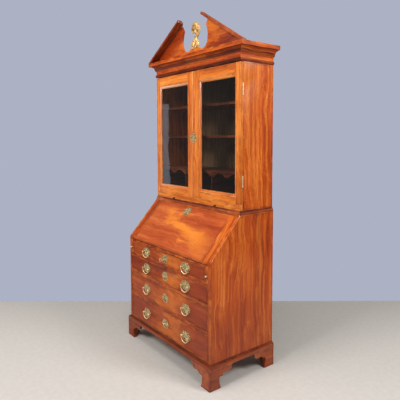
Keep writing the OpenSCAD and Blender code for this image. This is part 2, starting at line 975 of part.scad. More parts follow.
// Floor and top of the bookcase, the runners of the candle slides, and the dust board
module upper_boards() {
    top = cornice_z - 2;
    inside = upper_inner_x;
    runner_x = candle_w / 2 + 6;
    runner_t = 10;
    dust_x = upper_x - frieze_t - glue;
    dust_y = door_front + frieze_t * cornice_front / cornice_side + glue;
    color(mahogany) from_back() {
        board([-inside, case_front, upper_floor_z - upper_board_t], [inside, -back_t, upper_floor_z]);
        board([-inside, case_front, top - upper_board_t], [inside, -back_t, top]);
        for (s = [-1, 1]) translate([s * candle_x, 0, candle_z - slide_gap])
            board([-runner_x, case_front, -runner_t], [runner_x, -40, 0]);
        board([-dust_x, dust_y, cornice_z], [dust_x, -glue, cornice_z + 10]);
    }
}

module upper_back() {
    boards = 5;
    pitch = 2 * upper_inner_x / boards;
    color(oak) from_back() for (i = [0:boards - 1])
        board(
            [-upper_inner_x + i * pitch, -back_t, bureau_h],
            [-upper_inner_x + (i + 1) * pitch - glue, 0, cornice_z - 2]
        );
}

module base_rail() {
    color(mahogany) from_back() difference() {
        board([-upper_x, door_front, waist_z], [upper_x, door_back, upper_floor_z]);
        for (s = [-1, 1]) translate([s * candle_x, 0, 0]) board(
            [-candle_w / 2 - slide_gap, door_front - 1, candle_z - slide_gap],
            [candle_w / 2 + slide_gap, door_back + 1, candle_z + candle_t + slide_gap]
        );
    }
}

module candle_slide(side) {
    color(mahogany) from_back() translate([side * candle_x, door_front, candle_z]) {
        board([-candle_w / 2, 0, 0], [candle_w / 2, candle_len, candle_t]);
        translate([0, -glue, candle_t / 2]) knob(knob_r);
    }
}

module candle_slide_left() {
    candle_slide(-1);
}

module candle_slide_right() {
    candle_slide(1);
}

module waist_moulding() {
    front = waist_section(upper_setback);
    side = waist_section(upper_inset);
    color(dark_mahogany) from_back()
        moulding_round(upper_x, door_front, front, side, upper_inset, upper_setback, waist_tongue);
}

function waist_section(reach) = concat(
    [[-waist_tongue, waist_z], [-waist_tongue, bureau_h], [reach, bureau_h], [reach, bureau_h + 8]],
    bend([reach * 0.9, bureau_h + 8], [reach * 0.9, bureau_h + 18], [reach * 0.3, bureau_h + 20]),
    [[reach * 0.3, waist_z - 5], [reach * 0.15, waist_z]]
);

module shelves() {
    color(mahogany) from_back() for (z = shelf_z)
        board(
            [-upper_inner_x, shelf_front, upper_floor_z + z - shelf_t],
            [upper_inner_x, -back_t, upper_floor_z + z]
        );
}

module bookcase_rack() {
    bays = 3;
    pitch = (2 * upper_inner_x - rack_t) / bays;
    top = upper_floor_z + rack_h;
    color(mahogany) from_back() {
        board([-upper_inner_x, rack_front, top - rack_t], [upper_inner_x, -back_t, top]);
        for (i = [0:bays]) let (x = -upper_inner_x + i * pitch)
            board([x, rack_front, upper_floor_z], [x + rack_t, -back_t, top - rack_t - glue]);
        for (i = [0:bays - 1]) let (x = -upper_inner_x + i * pitch + rack_t + glue)
            translate([x, 0, top - rack_t - glue]) facing(rack_front + 1, rack_front + 7)
                valance(pitch - rack_t - 2 * glue, rack_valance_h, 2);
    }
}

// ---------- Cornice, pediment and finial ----------

// Section of the cornice: moulding, frieze, cove and fillet
function cornice_section(reach) = let (
    z1 = cornice_z + cornice_h[0],
    z3 = frieze_top + cornice_h[2],
    low = reach * 0.16
) concat(
    [[-frieze_t, cornice_top], [-frieze_t, cornice_z], [low * 0.2, cornice_z]],
    bend([low * 0.2, cornice_z + 3], [low, cornice_z + 4], [low, cornice_z + 13]),
    [[low * 0.6, cornice_z + 15], [low * 0.6, z1 - 5], [low * 0.1, z1 - 3]],
    [[low * 0.1, frieze_top - 6], [low * 0.8, frieze_top - 5], [low * 0.8, frieze_top]],
    bend([reach * 0.2, frieze_top], [reach * 0.25, z3 - 8], [reach * 0.9, z3 - 3], 10),
    [[reach, z3 - 3], [reach, cornice_top]]
);

module cornice() {
    color(mahogany) from_back() {
        moulding_round(
            upper_x, door_front, cornice_section(cornice_front), cornice_section(cornice_side),
            cornice_side, cornice_front, frieze_t
        );
    }
}

// Edge of the opening in the pediment, from the tip down to the pedestal: [x, height]
function horn() = concat(
    bend([tip_x + 28, tip_z - board_drop - 17], [tip_x + 13, tip_z - 46], [tip_x + 1, tip_z - 72]),
    bend([tip_x + 2, tip_z - 76], [tip_x + 18, cornice_top + 130], [tip_x + 18, cornice_top + 104]),
    bend([tip_x + 18, cornice_top + 100], [tip_x + 12, cornice_top + 25], [88, cornice_top + 25]),
    bend([72, cornice_top + 25], [54, cornice_top + 26], [50, pedestal_z])
);

module pediment() {
    eaves = (tip_z - board_drop - cornice_top) / tan(rake_a) + tip_x;
    reach = min(eaves, cornice_x) - 2;
    board_line = concat([[reach, cornice_top + glue]], horn());
    rake_len = (cornice_x - tip_x) / cos(rake_a) + 80;
    slot = rake_front - tympanum_y;
    section = concat(
        [[tympanum_y - glue, -12], [rake_front + 30, 0], [rake_front, 0], [rake_front, -14]],
        [[rake_front + 4, -14]],
        bend([rake_front + 4, -16], [tympanum_y + slot * 0.3, -16], [tympanum_y - 4, 4 - rake_h], 8),
        [[tympanum_y - 4, -rake_h], [tympanum_y - glue, -rake_h]]
    );
    color(mahogany) from_back() {
        difference() {
            facing(tympanum_y, tympanum_y + tympanum_t)
                polygon(concat(board_line, flip(board_line)));
            translate([0, finial_y, pedestal_z - dowel_len])
                cylinder(r = dowel_r + pin_play, h = dowel_len + 1);
        }
        both_sides() intersection() {
            translate([tip_x, 0, tip_z]) rotate([0, rake_a, 0])
                across(-60, rake_len) polygon(section);
            board([tip_x, rake_front - 1, cornice_top + glue], [cornice_x, 0, tip_z + 1]);
        }
    }
}

// A carved scroll of leaves that curls over at the head
module finial() {
    w = finial_w / 2;
    h = finial_h;
    color("goldenrod") from_back() translate([0, finial_y, pedestal_z]) {
        translate([0, 0, -dowel_len]) cylinder(r = dowel_r, h = dowel_len + 6);
        finial_limb([-w * 0.3, 0, 9], 9, [w * 0.55, 0, 9], 9);
        finial_limb([0, 0, 18], 17, [-w * 0.1, 0, h * 0.36], 15);
        finial_limb([-w * 0.1, 0, h * 0.36], 15, [w * 0.1, 0, h * 0.6], 13);
        finial_limb([w * 0.1, 0, h * 0.6], 13, [w * 0.4, -4, h * 0.8], 13);
        finial_limb([w * 0.4, -4, h * 0.8], 13, [0, -4, h - 13], 13);
        finial_limb([0, -4, h - 13], 13, [-w * 0.6, -6, h - 30], 9);
        finial_limb([w * 0.5, 0, h * 0.62], 8, [w * 0.82, -2, h * 0.84], 7);
    }
}

module finial_limb(a, ra, b, rb) {
    hull() {
        translate(a) sphere(r = ra, $fn = 24);
        translate(b) sphere(r = rb, $fn = 24);
    }
}

// ---------- The doors ----------

// Opening of the frame of the right door: [left, right, bottom, top]
function frame_opening() = [
    meeting_w,
    upper_x - stile_w,
    door_z + door_bottom_h,
    door_top - door_top_h,
];

// Four mitred lengths of glazing moulding in the opening o
module glazing_moulding(o) {
    ovolo = concat(
        [[glue, 1], [2, 1], [2, 3]],
        [for (a = [90:-10:0]) [2 + (glazing_w - 3) * cos(a), 11 - 8 * sin(a)]],
        [[glazing_w, 11], [glazing_w, 12 - glue], [glue, 12 - glue]]
    );
    mid = [(o[0] + o[1]) / 2, (o[2] + o[3]) / 2];
    half = [(o[1] - o[0]) / 2, (o[3] - o[2]) / 2];
    translate([mid[0], door_front, mid[1]]) {
        both_sides() intersection() {
            linear_extrude(2 * half[1], center = true) polygon([for (p = ovolo) [half[0] - p[0], p[1]]]);
            facing(-1, 30) polygon([
                [half[0], half[1] - glue],
                [half[0] - 2 * glazing_w, half[1] - 2 * glazing_w - glue],
                [half[0] - 2 * glazing_w, glue + 2 * glazing_w - half[1]],
                [half[0], glue - half[1]],
            ]);
        }
        for (s = [0, 180]) rotate([0, s, 0]) intersection() {
            across(-half[0], half[0]) polygon([for (p = ovolo) [p[1], half[1] - p[0]]]);
            facing(-1, 30) polygon([
                [half[0] - glue, half[1]],
                [half[0] - 2 * glazing_w - glue, half[1] - 2 * glazing_w],
                [2 * glazing_w + glue - half[0], half[1] - 2 * glazing_w],
                [glue - half[0], half[1]],
            ]);
        }
    }
}

// Grooves and leaf recesses for the hinges in the outer stile of the right door
module hinge_cuts() {
    for (z = hinge_z) {
        knuckle_groove(z);
        board([upper_inner_x, door_back - leaf_t, z], [hinge_x, door_back + 1, z + hinge_len]);
    }
}

// A door, drawn as the right one: edge is the X of its meeting edge
module door(edge) {
    o = frame_opening();
    difference() {
        union() {
            board([o[1] + glue, door_front, door_z], [upper_x, door_back, door_top]);
            board([edge, door_front, door_z], [o[0] - glue, door_back, door_top]);
            board([o[0], door_front, door_z], [o[1], door_back, o[2] - glue]);
            board([o[0], door_front, o[3] + glue], [o[1], door_back, door_top]);
        }
        hinge_cuts();
    }
    glazing_moulding(o);
    pane_beads(o);
}

// Plain beads that hold the glass from behind
module pane_beads(o) {
    y0 = glass_y + glass_t + glue;
    w = glass_lap;
    board([o[0] + glue, y0, o[2]], [o[0] + w, door_back, o[3]]);
    board([o[1] - w, y0, o[2]], [o[1] - glue, door_back, o[3]]);
    board([o[0] + w + glue, y0, o[2]], [o[1] - w - glue, door_back, o[2] + w]);
    board([o[0] + w + glue, y0, o[3] - w], [o[1] - w - glue, door_back, o[3]]);
}

// Half-round bead on the meeting edge of the left door, broken by the lock plate
module astragal() {
    half = door_plate_size[1] / 2 + 1;
    for (z = [[door_z, door_plate_z - half], [door_plate_z + half, door_top]])
        translate([0, door_front - glue, z[0]]) linear_extrude(z[1] - z[0]) polygon(concat(
            [[-astragal_w, 0], [-astragal_w, -1]],
            [for (a = [0:15:180]) [astragal_w * (-0.5 - 0.38 * cos(a)), -1 - 4 * sin(a)]],
            [[0, -1], [0, 0]]
        ));
}

module door_left() {
    color(mahogany) from_back() {
        mirror([1, 0, 0]) door(door_edge[0]);
        astragal();
    }
}

module door_right() {
    color(mahogany) from_back() door(door_edge[1]);
}

module pane() {
    o = frame_opening();
    board([o[0] + glue, glass_y, o[2] + glue], [o[1] - glue, glass_y + glass_t, o[3] - glue]);
}

module door_left_glass() {
    color("lightblue", 0.4) from_back() mirror([1, 0, 0]) pane();
}

module door_right_glass() {
    color("lightblue", 0.4) from_back() pane();
}

// Knuckles of a hinge over the spans given as shares of its length
module knuckles(z, spans) {
    for (s = spans) translate([hinge_x, hinge_y, z + s[0] * hinge_len + leaf_gap / 2])
        cylinder(r = knuckle_r, h = (s[1] - s[0]) * hinge_len - leaf_gap);
}

// The hinge leaves that turn with a door, drawn for the right one
module door_leaves() {
    leaf_x = hinge_x - knuckle_r - leaf_gap;
    for (z = hinge_z) difference() {
        union() {
            board([upper_inner_x, door_back - leaf_t, z], [leaf_x, door_back, z + hinge_len]);
            for (s = door_spans) board(
                [hinge_x - knuckle_r - 1, door_back - leaf_t, z + s[0] * hinge_len + leaf_gap / 2],
                [hinge_x - hinge_pin_r - 0.5, door_back, z + s[1] * hinge_len - leaf_gap / 2]
            );
            knuckles(z, door_spans);
        }
        translate([hinge_x, hinge_y, z - 1]) cylinder(r = hinge_pin_r + pin_play, h = hinge_len + 2);
    }
}

// The fixed leaves with their pins, drawn for the right door
module case_leaves() {
    leaf_x = hinge_x - knuckle_r - leaf_gap;
    for (z = hinge_z) {
        board([upper_inner_x, case_front, z], [leaf_x, case_front + leaf_t, z + hinge_len]);
        for (s = case_spans) board(
            [hinge_x - knuckle_r - 1, case_front, z + s[0] * hinge_len + leaf_gap / 2],
            [hinge_x - 1, case_front + leaf_t, z + s[1] * hinge_len - leaf_gap / 2]
        );
        knuckles(z, case_spans);
        translate([hinge_x, hinge_y, z + leaf_gap])
            cylinder(r = hinge_pin_r, h = hinge_len - 2 * leaf_gap);
    }
}

module fixed_hinge_leaves() {
    color(brass) from_back() both_sides() {
        case_leaves();
        translate([0, pin_y, pin_z]) difference() {
            rod_x(inner_x, inner_x + 10, fall_pin_r + 2);
            rod_x(inner_x - 1, inner_x + 9, fall_pin_r + pin_play);
        }
    }
}

// Half of the pierced plate on the meeting edges, cut at x = edge
module half_door_plate(edge) {
    translate([0, door_front, door_plate_z]) intersection() {
        pierced_plate(
            door_plate_size, [36, 72, 108, 144, 216, 252, 288, 324], [0, 180], false
        );
        board([edge, -2 * plate_t, -door_plate_size[1]], [door_plate_size[0], 1, door_plate_size[1]]);
    }
}

module door_left_brass() {
    color(brass) from_back() mirror([1, 0, 0]) {
        door_leaves();
        half_door_plate(door_edge[0]);
    }
}

module door_right_brass() {
    color(brass) from_back() {
        door_leaves();
        half_door_plate(door_edge[1]);
    }
}

// ---------- Assembly ----------

bureau_side_left();
bureau_side_right();
bureau_top();
writing_bed();
bureau_bottom();
bureau_back();
drawer_dividers();
loper_partitions();
base_moulding();
feet_front();
feet_back();
pigeonhole_case();
inner_drawer_1();
inner_drawer_2();
inner_drawer_3();
inner_drawer_4();
fall_panel();
writing_leather();
fall_plate();
fall_hinges();
fixed_hinge_leaves();
loper_left();
loper_right();
drawer_1();
drawer_2();
drawer_3();
drawer_4();
drawer_1_plates();
drawer_2_plates();
drawer_3_plates();
drawer_4_plates();
drawer_1_bail_left();
drawer_1_bail_right();
drawer_2_bail_left();
drawer_2_bail_right();
drawer_3_bail_left();
drawer_3_bail_right();
drawer_4_bail_left();
drawer_4_bail_right();
drawer_key();
key_fob();
upper_side_left();
upper_side_right();
upper_boards();
upper_back();
base_rail();
candle_slide_left();
candle_slide_right();
waist_moulding();
shelves();
bookcase_rack();
cornice();
pediment();
finial();
door_left();
door_left_glass();
door_left_brass();
door_right();
door_right_glass();
door_right_brass();
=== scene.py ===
"""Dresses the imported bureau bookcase: polished mahogany, pierced brass, old glass, gilding and leather."""

import json
import logging
import math
from dataclasses import dataclass
from enum import Enum
from typing import Callable, Iterable, Protocol, Sequence

import bmesh
import bpy
from mathutils import Matrix, Vector

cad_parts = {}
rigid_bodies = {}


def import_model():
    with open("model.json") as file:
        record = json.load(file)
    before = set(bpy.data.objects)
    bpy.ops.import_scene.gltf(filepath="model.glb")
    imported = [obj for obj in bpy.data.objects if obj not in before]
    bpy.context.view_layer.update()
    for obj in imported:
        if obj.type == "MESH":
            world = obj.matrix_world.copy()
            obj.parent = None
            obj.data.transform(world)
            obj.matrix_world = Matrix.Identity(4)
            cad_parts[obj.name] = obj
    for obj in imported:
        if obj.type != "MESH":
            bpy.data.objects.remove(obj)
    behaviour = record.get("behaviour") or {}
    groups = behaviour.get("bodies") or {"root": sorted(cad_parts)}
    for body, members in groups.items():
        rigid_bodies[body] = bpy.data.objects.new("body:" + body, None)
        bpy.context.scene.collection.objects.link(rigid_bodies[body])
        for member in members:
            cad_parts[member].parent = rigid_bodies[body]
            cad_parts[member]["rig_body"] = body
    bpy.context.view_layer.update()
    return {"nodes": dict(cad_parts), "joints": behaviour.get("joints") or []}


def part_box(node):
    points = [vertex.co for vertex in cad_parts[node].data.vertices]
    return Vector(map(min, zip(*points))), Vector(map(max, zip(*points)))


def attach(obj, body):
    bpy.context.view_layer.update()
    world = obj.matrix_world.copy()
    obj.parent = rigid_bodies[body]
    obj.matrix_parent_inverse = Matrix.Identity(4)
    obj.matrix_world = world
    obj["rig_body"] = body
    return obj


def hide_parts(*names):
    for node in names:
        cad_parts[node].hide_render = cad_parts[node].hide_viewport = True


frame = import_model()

LOG = logging.getLogger("bureau")

Colour = tuple[float, float, float]
Pair = tuple[float, float]
Triple = tuple[float, float, float]
Socket = bpy.types.NodeSocket
Piece = bpy.types.Object
Solid = bmesh.types.BMesh
Face = bmesh.types.BMFace

MERGE = 1e-6
"""Distance in metres under which two points are one."""
FLAT = 0.012
"""Angle in radians under which two faces are one."""


def tint(red: int, green: int, blue: int) -> Colour:
    """Returns a screen colour of 0 to 255 as the linear light that shaders use."""
    return tuple(((c / 255 + 0.055) / 1.055) ** 2.4 if c > 10 else c / 3295 for c in (red, green, blue))


# ---- finishes


class ShaderBench:
    """A material's node tree, with short calls for the nodes that the finishes share."""

    def __init__(self, name: str) -> None:
        """Starts an empty tree.

        Args:
            name: Name of the material.
        """
        self.material = bpy.data.materials.new(name)
        self.material.use_nodes = True
        self.tree = self.material.node_tree
        self.tree.nodes.clear()

    def feed(self, socket: Socket, value: object) -> None:
        """Links a socket, or sets its number or colour.

        Args:
            socket: Input to feed.
            value: Another node's output, a number or a tuple.
        """
        if isinstance(value, Socket):
            self.tree.links.new(value, socket)
        elif isinstance(value, tuple) and len(value) == 3 and len(socket.default_value) == 4:
            socket.default_value = (*value, 1.0)
        else:
            socket.default_value = value

    def add(self, kind: str, settings: dict | None = None, **inputs: object) -> bpy.types.Node:
        """Adds a node.

        Args:
            kind: Type of the node.
            settings: Properties of the node.
            inputs: Its inputs, by name with spaces written as underscores.

        Returns:
            The node.
        """
        node = self.tree.nodes.new(kind)
        for key, value in (settings or {}).items():
            setattr(node, key, value)
        for key, value in inputs.items():
            self.feed(node.inputs[key.replace("_", " ")], value)
        return node

    def attribute(self, name: str, output: str = "Vector") -> Socket:
        """Returns an attribute of the piece."""
        return self.add("ShaderNodeAttribute", {"attribute_name": name}).outputs[output]

    def place(self) -> Socket:
        """Returns the Object coordinates."""
        return self.add("ShaderNodeTexCoord").outputs["Object"]

    def fed(
        self, kind: str, settings: dict, *values: object, first: int = 0, **inputs: object
    ) -> Sequence[Socket]:
        """Adds a node whose inputs are fed by their places.

        Args:
            kind: Type of the node.
            settings: Properties of the node.
            values: Values of its inputs, from the first on.
            first: Place of the first that is fed.
            inputs: Other inputs, by name.

        Returns:
            Its outputs.
        """
        node = self.add(kind, settings, **inputs)
        for socket, value in zip(list(node.inputs)[first:], values):
            self.feed(socket, value)
        return node.outputs

    def math(self, operation: str, *values: object) -> Socket:
        """Returns the result of a Math node."""
        return self.fed("ShaderNodeMath", {"operation": operation}, *values)[0]

    def vector(self, operation: str, *values: object) -> Socket:
        """Returns the vector of a Vector Math node."""
        return self.fed("ShaderNodeVectorMath", {"operation": operation}, *values)["Vector"]

    def total(self, *terms: tuple[object, float]) -> Socket:
        """Adds up values, each times its weight.

        Args:
            terms: Pairs of a value and its weight.

        Returns:
            The sum.
        """
        result = self.math("MULTIPLY", *terms[0])
        for value, weight in terms[1:]:
            result = self.math("MULTIPLY_ADD", value, weight, result)
        return result

    def parts(self, vector: object) -> list[Socket]:
        """Returns the X, Y and Z of a vector."""
        return list(self.add("ShaderNodeSeparateXYZ", Vector=vector).outputs)

    def noise(
        self, place: object, stretch: Triple, detail: float, rough: float, seed: object = 0.0, twist: float = 0.0
    ) -> Socket:
        """Adds stretched noise.

        Args:
            place: Coordinates in metres.
            stretch: Cells per metre along each axis.
            detail: Octaves.
            rough: Weight of the finer octaves.
            seed: Fourth coordinate, which sets boards apart.
            twist: How far the noise warps itself.

        Returns:
            Its value, around 0.5.
        """
        place = self.vector("MULTIPLY", place, stretch)
        octaves = {"Scale": 1.0, "Detail": detail, "Roughness": rough, "Distortion": twist}
        node = self.add("ShaderNodeTexNoise", {"noise_dimensions": "4D"}, Vector=place, W=seed, **octaves)
        return node.outputs["Fac"]

    def spread(self, value: object, low: float, high: float, to: Pair = (0.0, 1.0)) -> Socket:
        """Stretches a value from low..high to a new span, with smooth ends.

        Args:
            value: Value to stretch.
            low: Where the result starts to change.
            high: Where it stops.
            to: Results at low and at high.

        Returns:
            The result.
        """
        span = {"From_Min": low, "From_Max": high, "To_Min": to[0], "To_Max": to[1]}
        node = self.add("ShaderNodeMapRange", {"interpolation_type": "SMOOTHSTEP"}, Value=value, **span)
        return node.outputs["Result"]

    def ramp(self, value: object, stops: Sequence[tuple[float, Colour]]) -> Socket:
        """Adds a colour ramp.

        Args:
            value: Place on the ramp.
            stops: Places and colours.

        Returns:
            Its colour.
        """
        node = self.add("ShaderNodeValToRGB", Fac=value)
        band = node.color_ramp
        for _ in stops[2:]:
            band.elements.new(0.5)
        for element, (at, colour) in zip(band.elements, stops):
            element.position = at
            element.color = (*colour, 1.0)
        return node.outputs["Color"]

    def mix(self, share: object, a: object, b: object) -> Socket:
        """Returns the mix of two colours, with a share of the second."""
        return self.fed("ShaderNodeMix", {"data_type": "RGBA"}, a, b, first=6, Factor=share)[2]

    def bump(self, height: object, depth: float, strength: float = 1.0) -> Socket:
        """Returns a normal bent by a height that is depth metres deep."""
        return self.add("ShaderNodeBump", Height=height, Distance=depth, Strength=strength).outputs["Normal"]

    def surface(self, **inputs: object) -> bpy.types.Material:
        """Closes the tree with a Principled shader of these inputs and returns the material."""
        return self.close(self.add("ShaderNodeBsdfPrincipled", **inputs).outputs[0])

    def close(self, shader: Socket) -> bpy.types.Material:
        """Closes the tree with a shader and returns the material."""
        self.tree.links.new(shader, self.add("ShaderNodeOutputMaterial").inputs[0])
        return self.material

    def arris(self) -> Socket:
        """Returns the distance in metres from a board's nearest edge, from its own coordinates."""
        local = self.vector("ABSOLUTE", self.attribute("local"))
        x, y, z = self.parts(self.vector("SUBTRACT", self.attribute("half"), local))
        least = self.math("MINIMUM", x, y)
        most = self.math("MAXIMUM", x, y)
        return self.math("MAXIMUM", least, self.math("MINIMUM", most, z))


class Finish(Protocol):
    """Anything that can make a material."""

    name: str

    def material(self) -> bpy.types.Material:
        """Returns a new material."""


class Figure(Enum):
    """Kinds of figure in a board."""

    STRIPE = "long ribbons"
    # The light patch is a painted sheen, standing for the reflection of the light on the polish.
    CLOUD_AND_SHEEN = "soft mottle with one light patch right of the middle"
    PLUME = "a light plume that crosses the board"


class BoardBench(ShaderBench):
    """A tree for wood, with the coordinates and the fibres of each board."""

    def __init__(self, name: str, bands: float) -> None:
        """Starts the tree.

        Args:
            name: Name of the material.
            bands: Growth bands per metre, across the grain.
        """
        super().__init__(name)
        self.board = self.math("MULTIPLY", self.attribute("board", "Fac"), 61.0)
        self.local = self.attribute("local")
        sway = self.noise(self.local, (2.4, 4.0, 4.0), 2.0, 0.5, self.board)
        shift = self.total((sway, 0.12), (1.0, -0.06))
        across = self.add("ShaderNodeCombineXYZ", Y=shift, Z=shift).outputs[0]
        self.grain = self.vector("ADD", self.local, across)
        self.wide = self.noise(self.grain, (0.7, bands, bands), 3.0, 0.62, self.board)
        self.fine = self.noise(self.grain, (5.0, bands * 8, bands * 8), 3.0, 0.65, self.board)


TONE_STOPS = (0.26, 0.42, 0.56, 0.74)
"""Places of a wood's four tones on its ramp."""
SHEEN_LEAN, SHEEN_PLACE, SHEEN_REACH = -0.9, 0.58, (0.26, -0.04)
# The painted sheen of a drawer, a light patch that stands for the reflection on its polish: its lean, its place
# and how it fades, in metres.
"""The light patch of a drawer: its lean, its place and how it fades, in metres."""
PLUME_SLOPE, PLUME_PLACE, PLUME_WIDTHS = 0.33, 0.235, (0.10, 0.085)
"""The plume of the fall: its slope, its height, and its width as it runs to the right."""
PLUME_MIDDLE, PLUME_ENDS = 0.05, (0.42, 0.10)
"""Middle of the plume along the board, and where it has faded and starts to fade."""
RUB_REACH, WAX_REACH, LOW_SHADE_HEIGHTS = (0.0035, 0.0006), (0.020, 0.002), (0.62, 0.05)
# How far from an arris the wood is rubbed and waxed, and the heights between which a painted shade darkens it
# towards the floor, where less light falls from above.
"""How far from an arris the wood is rubbed and waxed, and the heights between which it darkens."""
LOW_SHADE_SHARE, LOW_SHADE_TONE = 0.42, tint(132, 54, 26)
# Share and colour of the painted shade near the floor.
"""Share and colour of the darker wood near the floor."""


@dataclass(frozen=True)
class Timber:
    """A polished or plain wood, whose grain runs along the X of each board's own coordinates."""

    name: str
    tones: tuple[Colour, Colour, Colour, Colour]
    figure: Figure = Figure.STRIPE
    light: Colour = tint(236, 140, 50)
    glow: float = 0.6
    bands: float = 26.0
    contrast: float = 1.0
    polish: float = 0.16
    shine: float = 0.22
    rough: Pair = (0.30, 0.46)
    wear: float = 0.45
    wax: float = 0.55

    def material(self) -> bpy.types.Material:
        """Lays long bands, fine fibres, pores, the figure, worn arrises, dark wax and a painted shade towards
        the floor.

        Returns:
            The wood's material.
        """
        bench = BoardBench(self.name, self.bands)
        blot = bench.noise(bench.local, (1.6, 4.2, 4.2), 2.0, 0.5, bench.math("ADD", bench.board, 7.0))
        k = self.contrast
        terms = ((bench.wide, 0.9 * k), (bench.fine, 0.5 * k), (blot, 0.6 * k))
        tone = bench.total(*terms, (bench.attribute("board", "Fac"), 0.08), (1.0, 0.46 - k))
        colour = bench.ramp(tone, list(zip(TONE_STOPS, self.tones)))
        colour = bench.mix(self.figured(bench), colour, self.light)
        pore = bench.spread(bench.noise(bench.grain, (30.0, 800.0, 800.0), 1.0, 0.5, bench.board), 0.58, 0.72)
        colour = bench.mix(bench.math("MULTIPLY", pore, 0.5), colour, self.tones[0])
        colour = self.aged_and_shaded(bench, colour)
        sheen = bench.noise(bench.place(), (9.0, 9.0, 9.0), 3.0, 0.6)
        return bench.surface(
            Base_Color=colour,
            Roughness=bench.spread(sheen, 0.3, 0.7, self.rough),
            Specular_IOR_Level=self.shine,
            Coat_Weight=self.polish,
            Coat_Roughness=0.10,
            Normal=bench.bump(bench.total((bench.fine, 0.5), (pore, -0.6)), 0.00025, 0.6),
        )

    def figured(self, bench: BoardBench) -> Socket:
        """Draws the figure.

        Args:
            bench: Tree to build in.

        Returns:
            The share of the light colour.
        """
        x, y, _ = bench.parts(bench.local)
        board, fine = bench.board, bench.fine
        if self.figure is Figure.STRIPE:
            ribbon = bench.noise(bench.grain, (0.5, 15.0, 15.0), 2.0, 0.5, bench.math("ADD", board, 3.0))
            share = bench.spread(bench.total((ribbon, 1.0), (fine, 0.25)), 0.66, 0.88)
        elif self.figure is Figure.CLOUD_AND_SHEEN:
            # Painted sheen: a soft mottle with one light patch right of the middle, standing for the reflection
            # of the light on the polish.
            drift = bench.noise(bench.local, (5.0, 13.0, 13.0), 4.0, 0.65, board)
            lean = bench.total((x, 1.0), (y, SHEEN_LEAN), (drift, 1.0), (1.0, -SHEEN_PLACE))
            off = bench.math("ABSOLUTE", lean)
            share = bench.spread(bench.total((off, 1.0), (fine, 0.40), (1.0, -0.20)), *SHEEN_REACH)
        else:
            drift = bench.noise(bench.local, (3.2, 9.0, 9.0), 4.0, 0.62, board, 0.6)
            line = bench.total((y, 1.0), (x, PLUME_SLOPE), (drift, 0.42), (1.0, -PLUME_PLACE))
            width = bench.total((x, PLUME_WIDTHS[0]), (1.0, PLUME_WIDTHS[1]))
            near = bench.math("DIVIDE", bench.math("ABSOLUTE", line), width)
            share = bench.spread(bench.total((near, 1.0), (fine, 0.9), (1.0, -0.45)), 1.0, 0.1)
            ends = bench.math("ABSOLUTE", bench.total((x, 1.0), (1.0, -PLUME_MIDDLE)))
            share = bench.math("MULTIPLY", share, bench.spread(ends, *PLUME_ENDS))
        return bench.math("MULTIPLY", share, self.glow)

    def aged_and_shaded(self, bench: BoardBench, colour: Socket) -> Socket:
        """Rubs the arrises lighter, leaves old wax beside them, and paints a shade that darkens the wood towards
        the floor, where less light falls from above.

        Args:
            bench: Tree to build in.
            colour: Colour so far.

        Returns:
            The aged colour.
        """
        edge = bench.arris()
        patch = bench.noise(bench.local, (14.0, 14.0, 14.0), 3.0, 0.6, bench.board)
        rubbed = bench.math("MULTIPLY", bench.spread(edge, *RUB_REACH), bench.spread(patch, 0.35, 0.6))
        waxed = bench.math("MULTIPLY", bench.spread(edge, *WAX_REACH), bench.spread(patch, 0.66, 0.40))
        # Painted shade: the wood darkens towards the floor, standing for the light from above falling off.
        height = bench.parts(bench.place())[2]
        low = bench.math("MULTIPLY", bench.spread(height, *LOW_SHADE_HEIGHTS), LOW_SHADE_SHARE)
        colour = bench.mix(low, colour, LOW_SHADE_TONE)
        colour = bench.mix(bench.math("MULTIPLY", waxed, self.wax), colour, self.tones[0])
        return bench.mix(bench.math("MULTIPLY", rubbed, self.wear), colour, self.tones[3])


@dataclass(frozen=True)
class Metal:
    """Cast, drawn or gilded metal with tarnish in its hollows."""

    name: str
    bright: Colour
    dull: Colour
    metallic: float = 1.0
    rough: Pair = (0.20, 0.45)
    cloud: float = 60.0
    tarnish: Pair = (0.38, 0.60)
    relief: float = 0.0004

    def material(self) -> bpy.types.Material:
        """Lays clouds of tarnish over fine rubbing marks.

        Returns:
            The metal's material.
        """
        bench = ShaderBench(self.name)
        place = bench.place()
        cloud = bench.noise(place, (self.cloud,) * 3, 4.0, 0.6)
        speck = bench.noise(place, (700.0, 700.0, 700.0), 2.0, 0.5)
        share = bench.spread(bench.total((cloud, 0.75), (speck, 0.25)), *self.tarnish)
        return bench.surface(
            Base_Color=bench.mix(share, self.dull, self.bright),
            Metallic=self.metallic,
            Roughness=bench.spread(share, 0.0, 1.0, (self.rough[1], self.rough[0])),
            Normal=bench.bump(bench.total((cloud, 0.6), (speck, 0.4)), self.relief, 0.7),
        )


@dataclass(frozen=True)
class Pane:
    """Old sheet glass, a little uneven."""

    name: str

    def material(self) -> bpy.types.Material:
        """Lets the shelves show and lays soft reflections over them.

        Returns:
            The glass's material.
        """
        bench = ShaderBench(self.name)
        wave = bench.noise(bench.place(), (3.0, 3.0, 5.0), 2.0, 0.5)
        clear = bench.add("ShaderNodeBsdfTransparent", Color=(0.80, 0.83, 0.82))
        gloss = bench.add("ShaderNodeBsdfGlossy", Color=(1.0, 1.0, 1.0), Roughness=0.02)
        bench.feed(gloss.inputs["Normal"], bench.bump(wave, 0.003, 0.3))
        front = bench.math("SUBTRACT", 1.0, bench.add("ShaderNodeNewGeometry").outputs["Backfacing"])
        shine = bench.math("MULTIPLY", bench.add("ShaderNodeFresnel", IOR=1.5).outputs[0], front)
        return bench.close(bench.fed("ShaderNodeMixShader", {}, shine, clear.outputs[0], gloss.outputs[0])[0])


